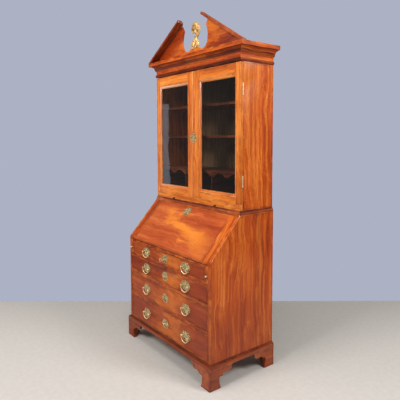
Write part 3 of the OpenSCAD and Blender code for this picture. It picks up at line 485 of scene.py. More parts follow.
@dataclass(frozen=True)
class Leather:
    """Hide with a fine pebble and, where it is tooled, two gold lines along its edge."""

    name: str
    deep: Colour
    rubbed: Colour
    tooled: float = 0.0
    fine_line_at: float = 1.6
    line_halves: Pair = (0.0025, 0.0008)
    gold: Colour = tint(205, 165, 85)

    def material(self) -> bpy.types.Material:
        """Lays a cloudy pebble and the tooled lines.

        Returns:
            The leather's material.
        """
        bench = ShaderBench(self.name)
        place = bench.place()
        cloud = bench.noise(place, (14.0, 14.0, 14.0), 4.0, 0.6)
        pebble = bench.add("ShaderNodeTexVoronoi", Vector=place, Scale=700.0).outputs["Distance"]
        colour = bench.mix(bench.spread(cloud, 0.4, 0.7), self.deep, self.rubbed)
        if self.tooled:
            edge = bench.arris()
            broad = bench.math("COMPARE", edge, self.tooled)
            narrow = bench.math("COMPARE", edge, self.tooled * self.fine_line_at)
            for line, half in zip((broad, narrow), self.line_halves):
                line.node.inputs[2].default_value = half
            colour = bench.mix(bench.math("MAXIMUM", broad, narrow), colour, self.gold)
        return bench.surface(
            Base_Color=colour,
            Roughness=bench.spread(cloud, 0.3, 0.7, (0.42, 0.62)),
            Normal=bench.bump(pebble, 0.0002, 0.6),
        )


MAHOGANY_TONES = (tint(108, 32, 4), tint(160, 60, 10), tint(190, 82, 18), tint(226, 126, 48))
DRAWER_TONES = (tint(92, 26, 2), tint(136, 44, 4), tint(160, 60, 10), tint(206, 108, 36))
HONEY_TONES = (tint(150, 66, 16), tint(198, 98, 28), tint(222, 124, 42), tint(242, 160, 78))
RED_TONES = (tint(92, 34, 12), tint(136, 54, 20), tint(164, 74, 32), tint(200, 112, 60))
FALL_TONES = (tint(120, 42, 14), tint(166, 68, 28), tint(188, 86, 38), tint(222, 124, 62))
DARK_TONES = (tint(58, 18, 6), tint(98, 34, 10), tint(130, 52, 18), tint(178, 92, 40))
OAK_TONES = (tint(104, 74, 42), tint(150, 112, 68), tint(176, 138, 90), tint(200, 166, 118))
DUSTY_TONES = (tint(70, 44, 26), tint(100, 66, 40), tint(124, 86, 54), tint(150, 110, 74))

SIDE = Timber("side_mahogany", MAHOGANY_TONES, glow=0.6, bands=44.0, contrast=1.0)
# Painted highlight: a near-white light colour and strong lightening at the arrises under a glossy coat, for the
# arrises beside the fall and the doors' glazing mouldings and astragal.
ARRIS_HIGHLIGHT = Timber(
    "painted_arris_highlight", HONEY_TONES, light=tint(255, 226, 196), glow=0.9, polish=0.8, shine=0.5, wear=0.9, wax=0.1
)
# Its light colour and share draw the painted sheen patch on the drawer fronts.
FRONT = Timber("drawer_mahogany", DRAWER_TONES, Figure.CLOUD_AND_SHEEN, tint(228, 122, 36), 0.72, 20.0, 0.95)
FALL = Timber("fall_mahogany", FALL_TONES, Figure.PLUME, tint(240, 142, 48), 0.8, 18.0, 0.85)
DOOR = Timber("door_mahogany", HONEY_TONES, glow=0.5, bands=34.0, contrast=0.9)
MOULDED = Timber("moulded_mahogany", MAHOGANY_TONES, glow=0.4, bands=34.0, wax=0.8)
# Darker finish for the faces in a moulding's hollows: painted shade along with old wax.
HOLLOW_WAX_AND_SHADE = Timber("dark_mahogany", DARK_TONES, glow=0.1, bands=34.0, polish=0.08, wax=0.8)
LOW_RAIL = Timber("low_mahogany", RED_TONES, glow=0.25, bands=30.0, wax=0.6)
INSIDE = Timber("inside_mahogany", DUSTY_TONES, glow=0.2, polish=0.0, rough=(0.5, 0.7), wear=0.2)
SHELF = Timber("shelf_mahogany", DARK_TONES, glow=0.2, polish=0.05, rough=(0.4, 0.6), wear=0.3)
DESK_INSIDE = Timber("desk_inside", MAHOGANY_TONES, glow=0.3, polish=0.1, rough=(0.38, 0.55))
OAK = Timber("oak_lining", OAK_TONES, glow=0.3, bands=60.0, polish=0.0, rough=(0.5, 0.7), wear=0.25)
BOARDS = Timber("back_boards", DUSTY_TONES, glow=0.3, bands=40.0, polish=0.0, rough=(0.6, 0.8), wear=0.3)

BRASS = Metal("brass", tint(255, 238, 190), tint(206, 178, 118), 0.45, (0.25, 0.45))
BRASS_GROUND = Metal("brass_ground", tint(172, 152, 98), tint(84, 74, 44), 0.6, (0.35, 0.6), 90.0)
BROWN_BRASS = Metal("brown_brass", tint(120, 92, 54), tint(48, 34, 20), 0.8, (0.25, 0.45))
STEEL = Metal("steel", tint(150, 146, 140), tint(84, 78, 72), rough=(0.3, 0.55))
GILDING = Metal(
    "gilding", tint(220, 176, 108), tint(124, 80, 38), 0.3, (0.32, 0.5), 42.0, (0.34, 0.58), relief=0.0003
)
GLASS = Pane("old_glass")
GREEN_HIDE = Leather("green_hide", tint(24, 52, 34), tint(58, 88, 58), 0.022)
THREAD = Metal("thread", tint(214, 196, 160), tint(160, 140, 104), 0.0, (0.7, 0.9), 300.0)
RED_HIDE = Leather("red_hide", tint(122, 14, 16), tint(176, 44, 36))

_made: dict[str, bpy.types.Material] = {}


def stock(finish: Finish) -> bpy.types.Material:
    """Makes a finish's material once.

    Args:
        finish: The finish.

    Returns:
        Its material.
    """
    if finish.name not in _made:
        _made[finish.name] = finish.material()
    return _made[finish.name]


# ---- joinery


SEED_STEP, SEED_PLACE = 0.618, 3.7
"""What a board's number and its distance from the origin add to its seed."""
SQUARE = 0.05
"""Greatest dot product of two directions that count as square to each other."""


@dataclass(frozen=True)
class BoardBox:
    """Frame of one loose part: its axes with the longest first, its centre and its half sizes."""

    axes: tuple[Vector, Vector, Vector]
    centre: Vector
    half: Vector


def loose_parts(bm: Solid) -> list[list[Face]]:
    """Splits a bmesh into its loose parts, in the order of the mesh.

    Args:
        bm: The bmesh.

    Returns:
        The faces of each part.
    """
    seen: set[Face] = set()
    parts = []
    for start in bm.faces:
        if start in seen:
            continue
        seen.add(start)
        part = [start]
        for face in part:
            for edge in face.edges:
                for other in edge.link_faces:
                    if other not in seen:
                        seen.add(other)
                        part.append(other)
        parts.append(part)
    return parts


def measure(faces: Sequence[Face]) -> BoardBox:
    """Finds the frame of a loose part from its two largest flat directions.

    Args:
        faces: Its faces.

    Returns:
        Its frame.
    """
    by_area = sorted(faces, key=lambda f: -f.calc_area())
    first = by_area[0].normal
    second = next((f.normal for f in by_area if abs(f.normal.dot(first)) < SQUARE), first.orthogonal())
    third = first.cross(second).normalized()
    corners = [v.co for f in faces for v in f.verts]
    spans = []
    for axis in (first, third.cross(first), third):
        axis = axis.normalized()
        if max(axis, key=abs) < 0:
            axis = -axis
        reach = [axis.dot(c) for c in corners]
        spans.append((max(reach) - min(reach), (max(reach) + min(reach)) / 2, axis))
    spans.sort(key=lambda s: -s[0])
    centre = sum((axis * middle for _, middle, axis in spans), Vector())
    return BoardBox(tuple(s[2] for s in spans), centre, Vector([s[0] / 2 for s in spans]))


def finish_mesh(bm: Solid, name: str, smooth: float = 24.0) -> Piece:
    """Turns a bmesh into an object in the scene.

    Args:
        bm: The bmesh, which is freed.
        name: Name of the object.
        smooth: Greatest angle that is shaded round, in degrees.

    Returns:
        The object, at the origin.
    """
    mesh = bpy.data.meshes.new(name)
    bm.to_mesh(mesh)
    bm.free()
    mesh.shade_smooth()
    mesh.set_sharp_from_angle(angle=math.radians(smooth))
    piece = bpy.data.objects.new(name, mesh)
    bpy.context.scene.collection.objects.link(piece)
    return piece


def merged_copy(node: str) -> Solid:
    """Copies a CAD node with its triangles joined into flat faces.

    Args:
        node: Name of the node.

    Returns:
        The copy.
    """
    bm = bmesh.new()
    bm.from_mesh(frame["nodes"][node].data)
    bmesh.ops.remove_doubles(bm, verts=bm.verts, dist=MERGE)
    bmesh.ops.dissolve_limit(bm, angle_limit=FLAT, verts=bm.verts, edges=bm.edges)
    return bm


def ease_arrises(bm: Solid, width: float, sharp: float = 32.0) -> None:
    """Rounds the sharp outer edges.

    Args:
        bm: The bmesh.
        width: Width of the rounding.
        sharp: Least angle of an edge that is rounded, in degrees.
    """
    limit = math.radians(sharp)
    edges = [e for e in bm.edges if e.is_manifold and e.is_convex and e.calc_face_angle(0.0) > limit]
    shape = {"offset": width, "offset_type": "OFFSET", "segments": 2, "profile": 0.5}
    bmesh.ops.bevel(bm, geom=edges, affect="EDGES", material=-1, clamp_overlap=True, **shape)


def mark_boards(bm: Solid, pick: Callable[[BoardBox], int]) -> None:
    """Writes each board's own coordinates, half sizes and seed on its points, and picks its finish.

    Args:
        bm: The bmesh.
        pick: Gives the index of a board's finish.
    """
    local = bm.verts.layers.float_vector.new("local")
    half = bm.verts.layers.float_vector.new("half")
    seed = bm.verts.layers.float.new("board")
    for number, faces in enumerate(loose_parts(bm)):
        box = measure(faces)
        index = pick(box)
        for face in faces:
            face.material_index = index
            for vert in face.verts:
                off = vert.co - box.centre
                vert[local] = Vector([off.dot(axis) for axis in box.axes])
                vert[half] = box.half
                vert[seed] = (number * SEED_STEP + box.centre.length * SEED_PLACE) % 1.0


def dress(piece: Piece, node: str, finishes: Sequence[Finish]) -> Piece:
    """Gives a piece its finishes and its body.

    Args:
        piece: The piece.
        node: CAD node that it stands for.
        finishes: Its materials, in the order of their indices.

    Returns:
        The piece.
    """
    cad = frame["nodes"][node]
    for finish in finishes:
        piece.data.materials.append(stock(finish))
    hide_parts(node)
    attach(piece, cad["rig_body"])
    LOG.info("%s: %d faces", piece.name, len(piece.data.polygons))
    return piece


def first_finish(box: BoardBox) -> int:
    """Gives every board the first finish."""
    return 0


@dataclass
class Joinery:
    """The boards of one CAD node, with eased arrises and a grain of their own.

    The faces of a moulding between the heights of a hollow take the second finish, a painted shade
    along with old wax. With slope, the arrises beside the fall take the last one, a painted highlight.
    """

    node: str
    finishes: Sequence[Finish]
    pick: Callable[[BoardBox], int] = first_finish
    ease: float = 0.0008
    hollows: Sequence[Pair] = ()
    slope: bool = False

    def build(self) -> Piece:
        """Builds the piece that stands for the node.

        Returns:
            The piece.
        """
        bm = merged_copy(self.node)
        ease_arrises(bm, self.ease)
        mark_boards(bm, self.pick)
        # Faces in a hollow take the second finish, a painted shade along with old wax.
        for face in bm.faces:
            height = face.calc_center_median().z
            if any(low < height < high for low, high in self.hollows):
                face.material_index = 1
        if self.slope:
            self.paint_slope_highlight(bm)
        return dress(finish_mesh(bm, self.node + "_boards"), self.node, self.finishes)

    def paint_slope_highlight(self, bm: Solid) -> None:
        """Gives the arrises beside the sloping fall the last finish, a painted highlight.

        Args:
            bm: The boards.
        """
        for face in bm.faces:
            sideways, back, up = face.normal
            if 0.35 < abs(sideways) < 0.93 and back < -0.2 and up > 0.2:
                face.material_index = len(self.finishes) - 1


def redress(node: str, finish: Finish) -> None:
    """Gives a CAD node a better material and leaves its shape."""
    frame["nodes"][node].material_slots[0].material = stock(finish)
    LOG.info("%s: %s", node, finish.name)


# ---- small parts by operators


FRONT_WAY = Vector((0.0, -1.0, 0.0))


def track(path: Sequence[Vector], closed: bool = False, up: Vector = FRONT_WAY) -> list[Matrix]:
    """Returns a frame at each point of a path, with its Z along the path.

    Args:
        path: Points.
        closed: Whether the path ends where it starts.
        up: Direction that the frames' X keeps near.

    Returns:
        One matrix for each point.
    """
    frames = []
    count = len(path)
    for i, point in enumerate(path):
        before = path[i - 1] if i or closed else point
        after = path[(i + 1) % count] if i < count - 1 or closed else point
        along = (after - before).normalized()
        across = along.cross(up)
        across = (across if across.length > 1e-4 else along.orthogonal()).normalized()
        turn = Matrix((across.cross(along), across, along)).transposed()
        frames.append(Matrix.Translation(point) @ turn.to_4x4())
    return frames


def drawn(
    frames: Sequence[Matrix], sizes: Sequence[Pair], sides: int, closed: bool = False, lobes: int = 0
) -> Solid:
    """Draws a round or lobed section along a track.

    Args:
        frames: Track, one frame for each station.
        sizes: Half sizes of the section along X and Y at each station.
        sides: Sides of the section.
        closed: Joins the last station to the first.
        lobes: Ribs round the section.

    Returns:
        The part.
    """
    bm = bmesh.new()
    ring = bmesh.ops.create_circle(bm, segments=sides, radius=1.0)["verts"]
    for vert in ring if lobes else ():
        vert.co *= 1.0 + 0.2 * math.cos(lobes * math.atan2(vert.co.y, vert.co.x))
    places = [f @ Matrix.Diagonal((a, b, 1.0, 1.0)) for f, (a, b) in zip(frames, sizes)]
    bmesh.ops.transform(bm, matrix=places[0], verts=ring)
    first = list(bm.edges)
    edges = first
    for before, after in zip(places, places[1:]):
        made = bmesh.ops.extrude_edge_only(bm, edges=edges)["geom"]
        ring = [g for g in made if isinstance(g, bmesh.types.BMVert)]
        own = set(ring)
        edges = [g for g in made if isinstance(g, bmesh.types.BMEdge) and set(g.verts) <= own]
        bmesh.ops.transform(bm, matrix=after @ before.inverted(), verts=ring)
    if closed:
        bmesh.ops.bridge_loops(bm, edges=first + edges)
    else:
        bmesh.ops.holes_fill(bm, edges=first + edges)
    bmesh.ops.recalc_face_normals(bm, faces=bm.faces)
    return bm


def join(bm: Solid, part: Solid, place: Matrix = Matrix(), finish: int = 0) -> None:
    """Moves a part into a larger one.

    Args:
        bm: The larger part.
        part: The part, which is freed.
        place: Where it goes.
        finish: Index of its finish.
    """
    bmesh.ops.transform(part, matrix=place, verts=part.verts)
    for face in part.faces:
        face.material_index = finish
    mesh = bpy.data.meshes.new("part")
    part.to_mesh(mesh)
    part.free()
    bm.from_mesh(mesh)
    bpy.data.meshes.remove(mesh)


def wire(
    bm: Solid,
    path: Sequence[Vector],
    radii: Sequence[float],
    sides: int = 6,
    closed: bool = False,
    up: Vector = FRONT_WAY,
    finish: int = 0,
) -> None:
    """Adds a round wire along a path.

    Args:
        bm: The part that receives it.
        path: Points.
        radii: Radius at each point.
        sides: Sides of the section.
        closed: Whether the path ends where it starts.
        up: Direction that the section's X keeps near.
        finish: Index of its finish.
    """
    join(bm, drawn(track(path, closed, up), [(r, r) for r in radii], sides, closed), finish=finish)


def around(turn: float, radius: float) -> Vector:
    """Returns a point of a circle in the front plane, from its right and up."""
    return Vector((math.cos(turn), 0.0, math.sin(turn))) * radius


# ---- brass


@dataclass
class PiercedPlates:
    """Cast brass plates of one CAD node: a pierced ground with raised rims and chased ribs."""

    node: str
    rim_r: float = 0.0009
    rib_r: float = 0.0008
    ground_t: float = 0.0009
    handle_halves: Pair = (0.036, 0.03)
    plate_half: float = 0.012
    lock_halves: Pair = (0.028, 0.004)
    ring_reach: float = 0.39
    ring_steps: int = 40
    rib_reach: Pair = (0.40, 0.82)
    rib_curl: float = 0.28
    rib_steps: int = 7
    rib_turns: tuple[float, ...] = tuple(math.radians(a) for a in (18, 54, 126, 162, 198, 234, 306, 342))

    def pick(self, box: BoardBox) -> int:
        """Gives flat plates the dark ground, locks steel, and posts and nuts bright brass.

        Args:
            box: Frame of a loose part.

        Returns:
            Index of its finish.
        """
        if box.half.z < self.ground_t and box.half.y > self.plate_half:
            return 1
        return 2 if box.half.z > self.lock_halves[1] and box.half.x > self.lock_halves[0] else 0

    def build(self) -> Piece:
        """Builds the piece that stands for the node.

        Returns:
            The piece.
        """
        bm = merged_copy(self.node)
        plates = []
        for faces in loose_parts(bm):
            box = measure(faces)
            if self.pick(box) == 1:
                plates.append((box, self.outlines(faces, -box.axes[2])))
        ease_arrises(bm, 0.0003, 50.0)
        mark_boards(bm, self.pick)
        for box, loops in plates:
            front = -box.axes[2]
            for path in loops:
                wire(bm, path, [self.rim_r] * len(path), closed=True, up=front)
            if box.half.x > self.handle_halves[0] and box.half.y > self.handle_halves[1]:
                self.chase(bm, box, front)
        return dress(finish_mesh(bm, self.node + "_cast"), self.node, (BRASS, BRASS_GROUND, STEEL))

    def outlines(self, faces: Iterable[Face], front: Vector) -> list[list[Vector]]:
        """Finds the outline of a plate and of each piercing, a rim's radius inside the metal.

        Args:
            faces: Faces of the plate.
            front: Direction that it faces.

        Returns:
            Closed paths.
        """
        turn = {}
        shown = {f for f in faces if f.normal.dot(front) > 0.9}
        for face in shown:
            for loop in face.loops:
                if not any(other in shown and other is not face for other in loop.edge.link_faces):
                    turn[loop.vert] = loop.link_loop_next.vert
        paths = []
        while turn:
            start, vert = next(iter(turn.items()))
            del turn[start]
            corners = [start.co.copy()]
            while vert in turn:
                corners.append(vert.co.copy())
                vert = turn.pop(vert)
            path = []
            for i, corner in enumerate(corners):
                along = (corners[(i + 1) % len(corners)] - corners[i - 1]).normalized()
                path.append(corner + front.cross(along) * self.rim_r + front * self.rim_r * 0.3)
            paths.append(path)
        return paths

    def chase(self, bm: Solid, box: BoardBox, front: Vector) -> None:
        """Adds an oval ring and curled ribs between the piercings.

        Args:
            bm: The bmesh that receives them.
            box: Frame of the plate.
            front: Direction that it faces.
        """
        right, up = (a for a in box.axes[:2])
        if abs(right.x) < abs(up.x):
            right, up = up, right
        wide, high = (box.half[i] for i in ((0, 1) if right is box.axes[0] else (1, 0)))
        base = box.centre + front * box.half.z

        def spot(turn: float, reach: float) -> Vector:
            """Returns a point of the face at a turn and a share of the plate's half sizes."""
            return base + right * (math.cos(turn) * wide * reach) + up * (math.sin(turn) * high * reach)

        count, last = self.ring_steps, self.rib_steps
        ring = [spot(math.tau * i / count, self.ring_reach) for i in range(count)]
        wire(bm, ring, [self.rib_r] * count, closed=True, up=front)
        near, far = self.rib_reach
        for turn in self.rib_turns:
            path, radii = [], []
            for t in range(last + 1):
                curl = self.rib_curl * math.sin(math.pi * t / last) ** 2
                path.append(spot(turn + curl, near + (far - near) * t / last))
                radii.append(self.rib_r * (1.5 - t / 9))
            wire(bm, path, radii, up=front)


@dataclass
class Bail:
    """A cast bail that hangs from two posts, thicker and beaded in the middle."""

    node: str
    thin_r: float = 0.0021
    thick_r: float = 0.0029
    bead_r: float = 0.0042
    eye_r: float = 0.0036
    pin_r: float = 0.0015
    pin_in: float = 0.0110
    post_in: float = 0.0035
    stations: int = 40
    bead_reach: float = 2.2
    collar_at: int = 5

    def build(self) -> Piece:
        """Builds the piece that stands for the node.

        Returns:
            The piece.
        """
        low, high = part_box(self.node)
        pivot = Vector(next(j["pos_m"] for j in frame["joints"] if j["name"] == self.node + "_swing"))
        reach = (high.x - low.x) / 2 - self.post_in
        bm = bmesh.new()
        path, radii = [], []
        for i in range(self.stations + 1):
            turn = math.pi * i / self.stations
            path.append(pivot + around(-turn, reach))
            off = abs(i - self.stations / 2)
            bead = max(0.0, 1.0 - off / self.bead_reach)
            collar = 0.5 if abs(off - self.collar_at) < 0.5 else 0.0
            plain = self.thin_r + (self.thick_r - self.thin_r) * math.sin(turn) ** 2
            radii.append(plain + (self.bead_r - self.thick_r) * max(bead, collar))
        wire(bm, path, radii, 10)
        for side in (-1.0, 1.0):
            eye = pivot + Vector((side * reach, 0.0, 0.0))
            ball = bmesh.new()
            bmesh.ops.create_uvsphere(ball, u_segments=14, v_segments=8, radius=self.eye_r)
            join(bm, ball, Matrix.Translation(eye))
            pin = [eye, eye - Vector((side * self.pin_in, 0.0, 0.0))]
            wire(bm, pin, [self.pin_r] * 2, 10)
        return dress(finish_mesh(bm, self.node + "_cast", smooth=50.0), self.node, (BRASS,))


@dataclass
class KeyFob:
    """Red leather fob: eased edges, a brass eyelet and a line of stitches on each face."""

    node: str = "key_fob"
    eyelet_r: float = 0.0038
    eyelet_down: float = 0.0054
    eyelet_steps: int = 20
    wire_r: float = 0.0007
    stitches: int = 26
    stitch_half: float = 0.0004
    stitch_radii: Triple = (0.00014, 0.0002, 0.00014)
    stitch_arc: Pair = (1.06, 0.88)
    inset: float = 0.0018

    def build(self) -> Piece:
        """Builds the piece that stands for the node.

        Returns:
            The piece.
        """
        bm = merged_copy(self.node)
        ease_arrises(bm, 0.0004)
        mark_boards(bm, first_finish)
        low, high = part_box(self.node)
        middle = (low + high) / 2
        eye = Vector((middle.x, middle.y, high.z - self.eyelet_down))
        steps = self.eyelet_steps
        for side in (-1.0, 1.0):
            face = Vector((0.0, side * (high.y - low.y) / 2, 0.0))
            ring = [eye + face + around(math.tau * i / steps, self.eyelet_r) for i in range(steps)]
            wire(bm, ring, [self.wire_r] * steps, closed=True, finish=1)
            self.sew(bm, middle + face, high.x - low.x, high.z - low.z)
        return dress(finish_mesh(bm, "key_fob_sewn"), self.node, (RED_HIDE, BRASS, THREAD))

    def sew(self, bm: Solid, middle: Vector, wide: float, high: float) -> None:
        """Adds the stitches of one face.

        Args:
            bm: The bmesh that receives them.
            middle: Middle of the face.
            wide: Width of the fob.
            high: Height of the fob.
        """
        centre = middle - Vector((0.0, 0.0, high / 2 - wide / 2))
        start, arc = self.stitch_arc
        for i in range(self.stitches):
            turn = math.pi * (start + arc * i / (self.stitches - 1))
            at = centre + around(turn, wide / 2 - self.inset)
            along = around(turn + math.pi / 2, self.stitch_half)
            wire(bm, [at - along, at, at + along], self.stitch_radii, 5, finish=2)


# ---- carving


@dataclass(frozen=True)
class Leaf:
    """A leaf of the finial: its spine as distances right and shares of the rise, and its section."""

    spine: tuple[Pair, ...]
    widths: tuple[float, ...]
    flat: float
    ribs: int


FINIAL_LEAVES = (
    Leaf(
        (
            (-0.016, 0.0), (-0.020, 0.12), (-0.014, 0.25), (-0.004, 0.38),
            (0.010, 0.50), (0.024, 0.62), (0.030, 0.74),
        ),
        (0.024, 0.024, 0.018, 0.014, 0.012, 0.014, 0.017), 0.72, 5,
    ),
    Leaf(
        (
            (0.030, 0.72), (0.030, 0.84), (0.016, 0.92), (-0.004, 0.935),
            (-0.021, 0.87), (-0.031, 0.76), (-0.031, 0.68), (-0.022, 0.64),
        ),
        (0.016, 0.016, 0.016, 0.015, 0.012, 0.010, 0.008, 0.004), 0.8, 5,
    ),
    Leaf(
        ((0.004, 0.01), (0.024, 0.06), (0.034, 0.17), (0.026, 0.27), (0.032, 0.34)),
        (0.014, 0.014, 0.010, 0.008, 0.003), 0.7, 4,
    ),
    Leaf(
        ((-0.004, 0.02), (0.0, 0.12), (0.010, 0.24), (0.010, 0.36), (-0.004, 0.47)),
        (0.016, 0.014, 0.012, 0.009, 0.003), 0.8, 4,
    ),
    Leaf(
        ((0.018, 0.54), (0.036, 0.61), (0.043, 0.72), (0.040, 0.83), (0.030, 0.88)),
        (0.010, 0.010, 0.009, 0.007, 0.003), 0.7, 4,
    ),
    Leaf(
        ((0.012, 0.60), (-0.002, 0.66), (-0.004, 0.76), (0.006, 0.84), (0.016, 0.80)),
        (0.010, 0.010, 0.009, 0.007, 0.003), 0.8, 4,
    ),
)


@dataclass
class CarvedFinial:
    """A gilt scroll of leaves that rises from the pedestal and curls over to the left."""

    node: str = "finial"
    grain: float = 0.0011
    foot_off: Pair = (-0.004, 0.003)
    foot_z: float = 2.1215
    steps: int = 5
    sway: float = 0.003
    sway_turns: float = 9.0

    def build(self) -> Piece:
        """Builds the piece that stands for the node.

        Returns:
            The piece.
        """
        low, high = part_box(self.node)
        middle = (low + high) / 2
        foot = Vector((middle.x + self.foot_off[0], middle.y + self.foot_off[1], self.foot_z))
        bm = bmesh.new()
        for leaf in FINIAL_LEAVES:
            self.carve(bm, leaf, foot, high.z - foot.z)
        return dress(self.fuse(bm), self.node, (GILDING,))

    def carve(self, bm: Solid, leaf: Leaf, foot: Vector, rise: float) -> None:
        """Adds one ribbed leaf.

        Args:
            bm: The bmesh that receives it.
            leaf: The leaf.
            foot: Where the finial stands.
            rise: Its height.
        """
        points = [foot + Vector((x, 0.0, z * rise)) for x, z in leaf.spine]
        last = len(points) - 1
        path, sizes = [], []
        for i in range(last):
            ends = [points[max(0, min(last, i + k))] for k in (-1, 0, 1, 2)]
            for j in range(self.steps + (i == last - 1)):
                t = j / self.steps
                at = catmull(ends, t)
                at.y -= self.sway * math.sin(self.sway_turns * (at.z - foot.z) / rise)
                path.append(at)
                wide = leaf.widths[i] + (leaf.widths[i + 1] - leaf.widths[i]) * t
                sizes.append((wide * leaf.flat, wide))
        join(bm, drawn(track(path), sizes, 6 * leaf.ribs, lobes=leaf.ribs))

    def fuse(self, bm: Solid) -> Piece:
        """Fuses the leaves into one smooth skin.

        Args:
            bm: The leaves, which are freed.

        Returns:
            The finial's object.
        """
        rough = finish_mesh(bm, "finial_rough")
        remesh = rough.modifiers.new("skin", "REMESH")
        remesh.mode = "VOXEL"
        remesh.voxel_size = self.grain
        soft = rough.modifiers.new("soft", "SMOOTH")
        soft.factor = 0.5
        soft.iterations = 2
        shape = bpy.data.meshes.new_from_object(rough.evaluated_get(bpy.context.evaluated_depsgraph_get()))
        bpy.data.objects.remove(rough)
        skin = bmesh.new()
        skin.from_mesh(shape)
        bpy.data.meshes.remove(shape)
        return finish_mesh(skin, "finial_carved", smooth=180.0)


def catmull(ends: Sequence[Vector], t: float) -> Vector:
    """Finds a point on a smooth curve through four points, between the middle two.

    Args:
        ends: The four points.
        t: Share of the way between the middle two.

    Returns:
        The point.
    """
    a, b, c, d = ends
    curve = (2 * a - 5 * b + 4 * c - d) * t * t + (3 * b - a - 3 * c + d) * t * t * t
    return 0.5 * (2 * b + (c - a) * t + curve)


# ---- assemblies


class Side(Enum):
    """Sides of a board, by the index of its half size."""

    LENGTH = 0
    WIDTH = 1
    THICKNESS = 2


def second(side: Side, under: float, over: float = 0.0) -> Callable[[BoardBox], int]:
    """Returns a pick that gives the second finish to boards with a half size between two limits."""
    return lambda box: int(over < box.half[side.value] < under)


SIDES = ("left", "right")
DRAWERS = range(1, 5)
KNOBS_SECOND = second(Side.LENGTH, 0.010)


@dataclass
class Desk:
    """The bureau: carcase, feet, writing interior, lopers and fall."""

    dustboard_half: float = 0.006
    block_half: float = 0.0172
    cleat_half: float = 0.031
    knob_half: float = 0.010
    lining_half: float = 0.004
    # Heights of the base moulding's hollow, whose faces take a painted shade along with old wax.
    moulding_hollow: Pair = (0.1435, 0.1590)

    def build(self) -> None:
        """Builds every piece of the bureau."""
        blocks, cleats = second(Side.WIDTH, self.block_half), second(Side.WIDTH, self.cleat_half)
        dustboards = second(Side.THICKNESS, self.dustboard_half)
        drawer = (FRONT, OAK, BRASS)
        for piece in (
            # The sides' arrises beside the fall take a painted highlight.
            *(Joinery(f"bureau_side_{side}", (SIDE, ARRIS_HIGHLIGHT), ease=0.0022, slope=True) for side in SIDES),
            Joinery("bureau_top", (SIDE,), ease=0.0012),
            Joinery("writing_bed", (DESK_INSIDE,)),
            Joinery("bureau_bottom", (BOARDS,)),
            Joinery("bureau_back", (BOARDS,)),
            Joinery("drawer_dividers", (MOULDED, OAK), dustboards),
            Joinery("loper_partitions", (MOULDED,)),
            Joinery("base_moulding", (LOW_RAIL, HOLLOW_WAX_AND_SHADE), hollows=(self.moulding_hollow,)),
            Joinery("feet_front", (LOW_RAIL, OAK), blocks, ease=0.0012),
            Joinery("feet_back", (LOW_RAIL, OAK), blocks, ease=0.0012),
            Joinery("pigeonhole_case", (OAK,), ease=0.0005),
            *(Joinery(f"inner_drawer_{n}", drawer, self.finish_of, ease=0.0005) for n in DRAWERS),
            *(Joinery(f"loper_{side}", (MOULDED, BRASS), KNOBS_SECOND, ease=0.0005) for side in SIDES),
            # The fall's arrises beside its slope take a painted highlight.
            Joinery("fall_panel", (FALL, SIDE, ARRIS_HIGHLIGHT), cleats, ease=0.0018, slope=True),
            Joinery("writing_leather", (GREEN_HIDE,), ease=0.0003),
        ):
            piece.build()

    def finish_of(self, box: BoardBox) -> int:
        """Gives an inner drawer its polished front, oak linings and brass knob.

        Args:
            box: Frame of a board or of the knob.

        Returns:
            Index of its finish.
        """
        if box.half.x < self.knob_half:
            return 2
        return 0 if box.half.z > self.lining_half else 1


@dataclass
class LongDrawers:
    """Four long drawers with their cockbeads, linings and brasses."""

    front_half: float = 0.009
    bead_halves: Pair = (0.006, 0.0025)

    def finish_of(self, box: BoardBox) -> int:
        """Gives the front the first finish, the linings the second and the cockbeads the third.

        Args:
            box: Frame of a board.

        Returns:
            Index of its finish.
        """
        if box.half.z > self.front_half:
            return 0
        wide, thick = self.bead_halves
        return 2 if box.half.y < wide and box.half.z < thick else 1

    def build(self) -> None:
        """Builds the drawers and their brasses."""
        for number in DRAWERS:
            node = f"drawer_{number}"
            Joinery(node, (FRONT, OAK, MOULDED), self.finish_of, ease=0.0006).build()
            PiercedPlates(node + "_plates").build()
            for side in SIDES:
                Bail(f"{node}_bail_{side}").build()
        redress("drawer_key", BRASS)
        KeyFob().build()


@dataclass
class Bookcase:
    """The glazed upper case, its shelves, cornice and pediment."""

    board_half: float = 0.0105
    # Heights of the hollows whose faces take a painted shade along with old wax.
    waist_hollows: tuple[Pair, ...] = ((1.0280, 1.0312), (1.0440, 1.0590))
    cornice_hollows: tuple[Pair, ...] = ((1.9722, 1.9922), (2.0235, 2.0440), (2.0590, 2.0634))

    def build(self) -> None:
        """Builds every piece of the bookcase."""
        slide = (DOOR, BROWN_BRASS)
        for piece in (
            *(Joinery(f"upper_side_{side}", (SIDE,), ease=0.0010) for side in SIDES),
            Joinery("upper_boards", (INSIDE,)),
            Joinery("upper_back", (BOARDS,)),
            Joinery("base_rail", (DOOR,)),
            *(Joinery(f"candle_slide_{side}", slide, KNOBS_SECOND, ease=0.0005) for side in SIDES),
            Joinery("waist_moulding", (LOW_RAIL, HOLLOW_WAX_AND_SHADE), hollows=self.waist_hollows),
            Joinery("shelves", (SHELF,)),
            Joinery("bookcase_rack", (SHELF,), ease=0.0005),
            Joinery("cornice", (MOULDED, HOLLOW_WAX_AND_SHADE), hollows=self.cornice_hollows),
            Joinery("pediment", (FRONT, LOW_RAIL), second(Side.THICKNESS, math.inf, self.board_half)),
            CarvedFinial(),
        ):
            piece.build()


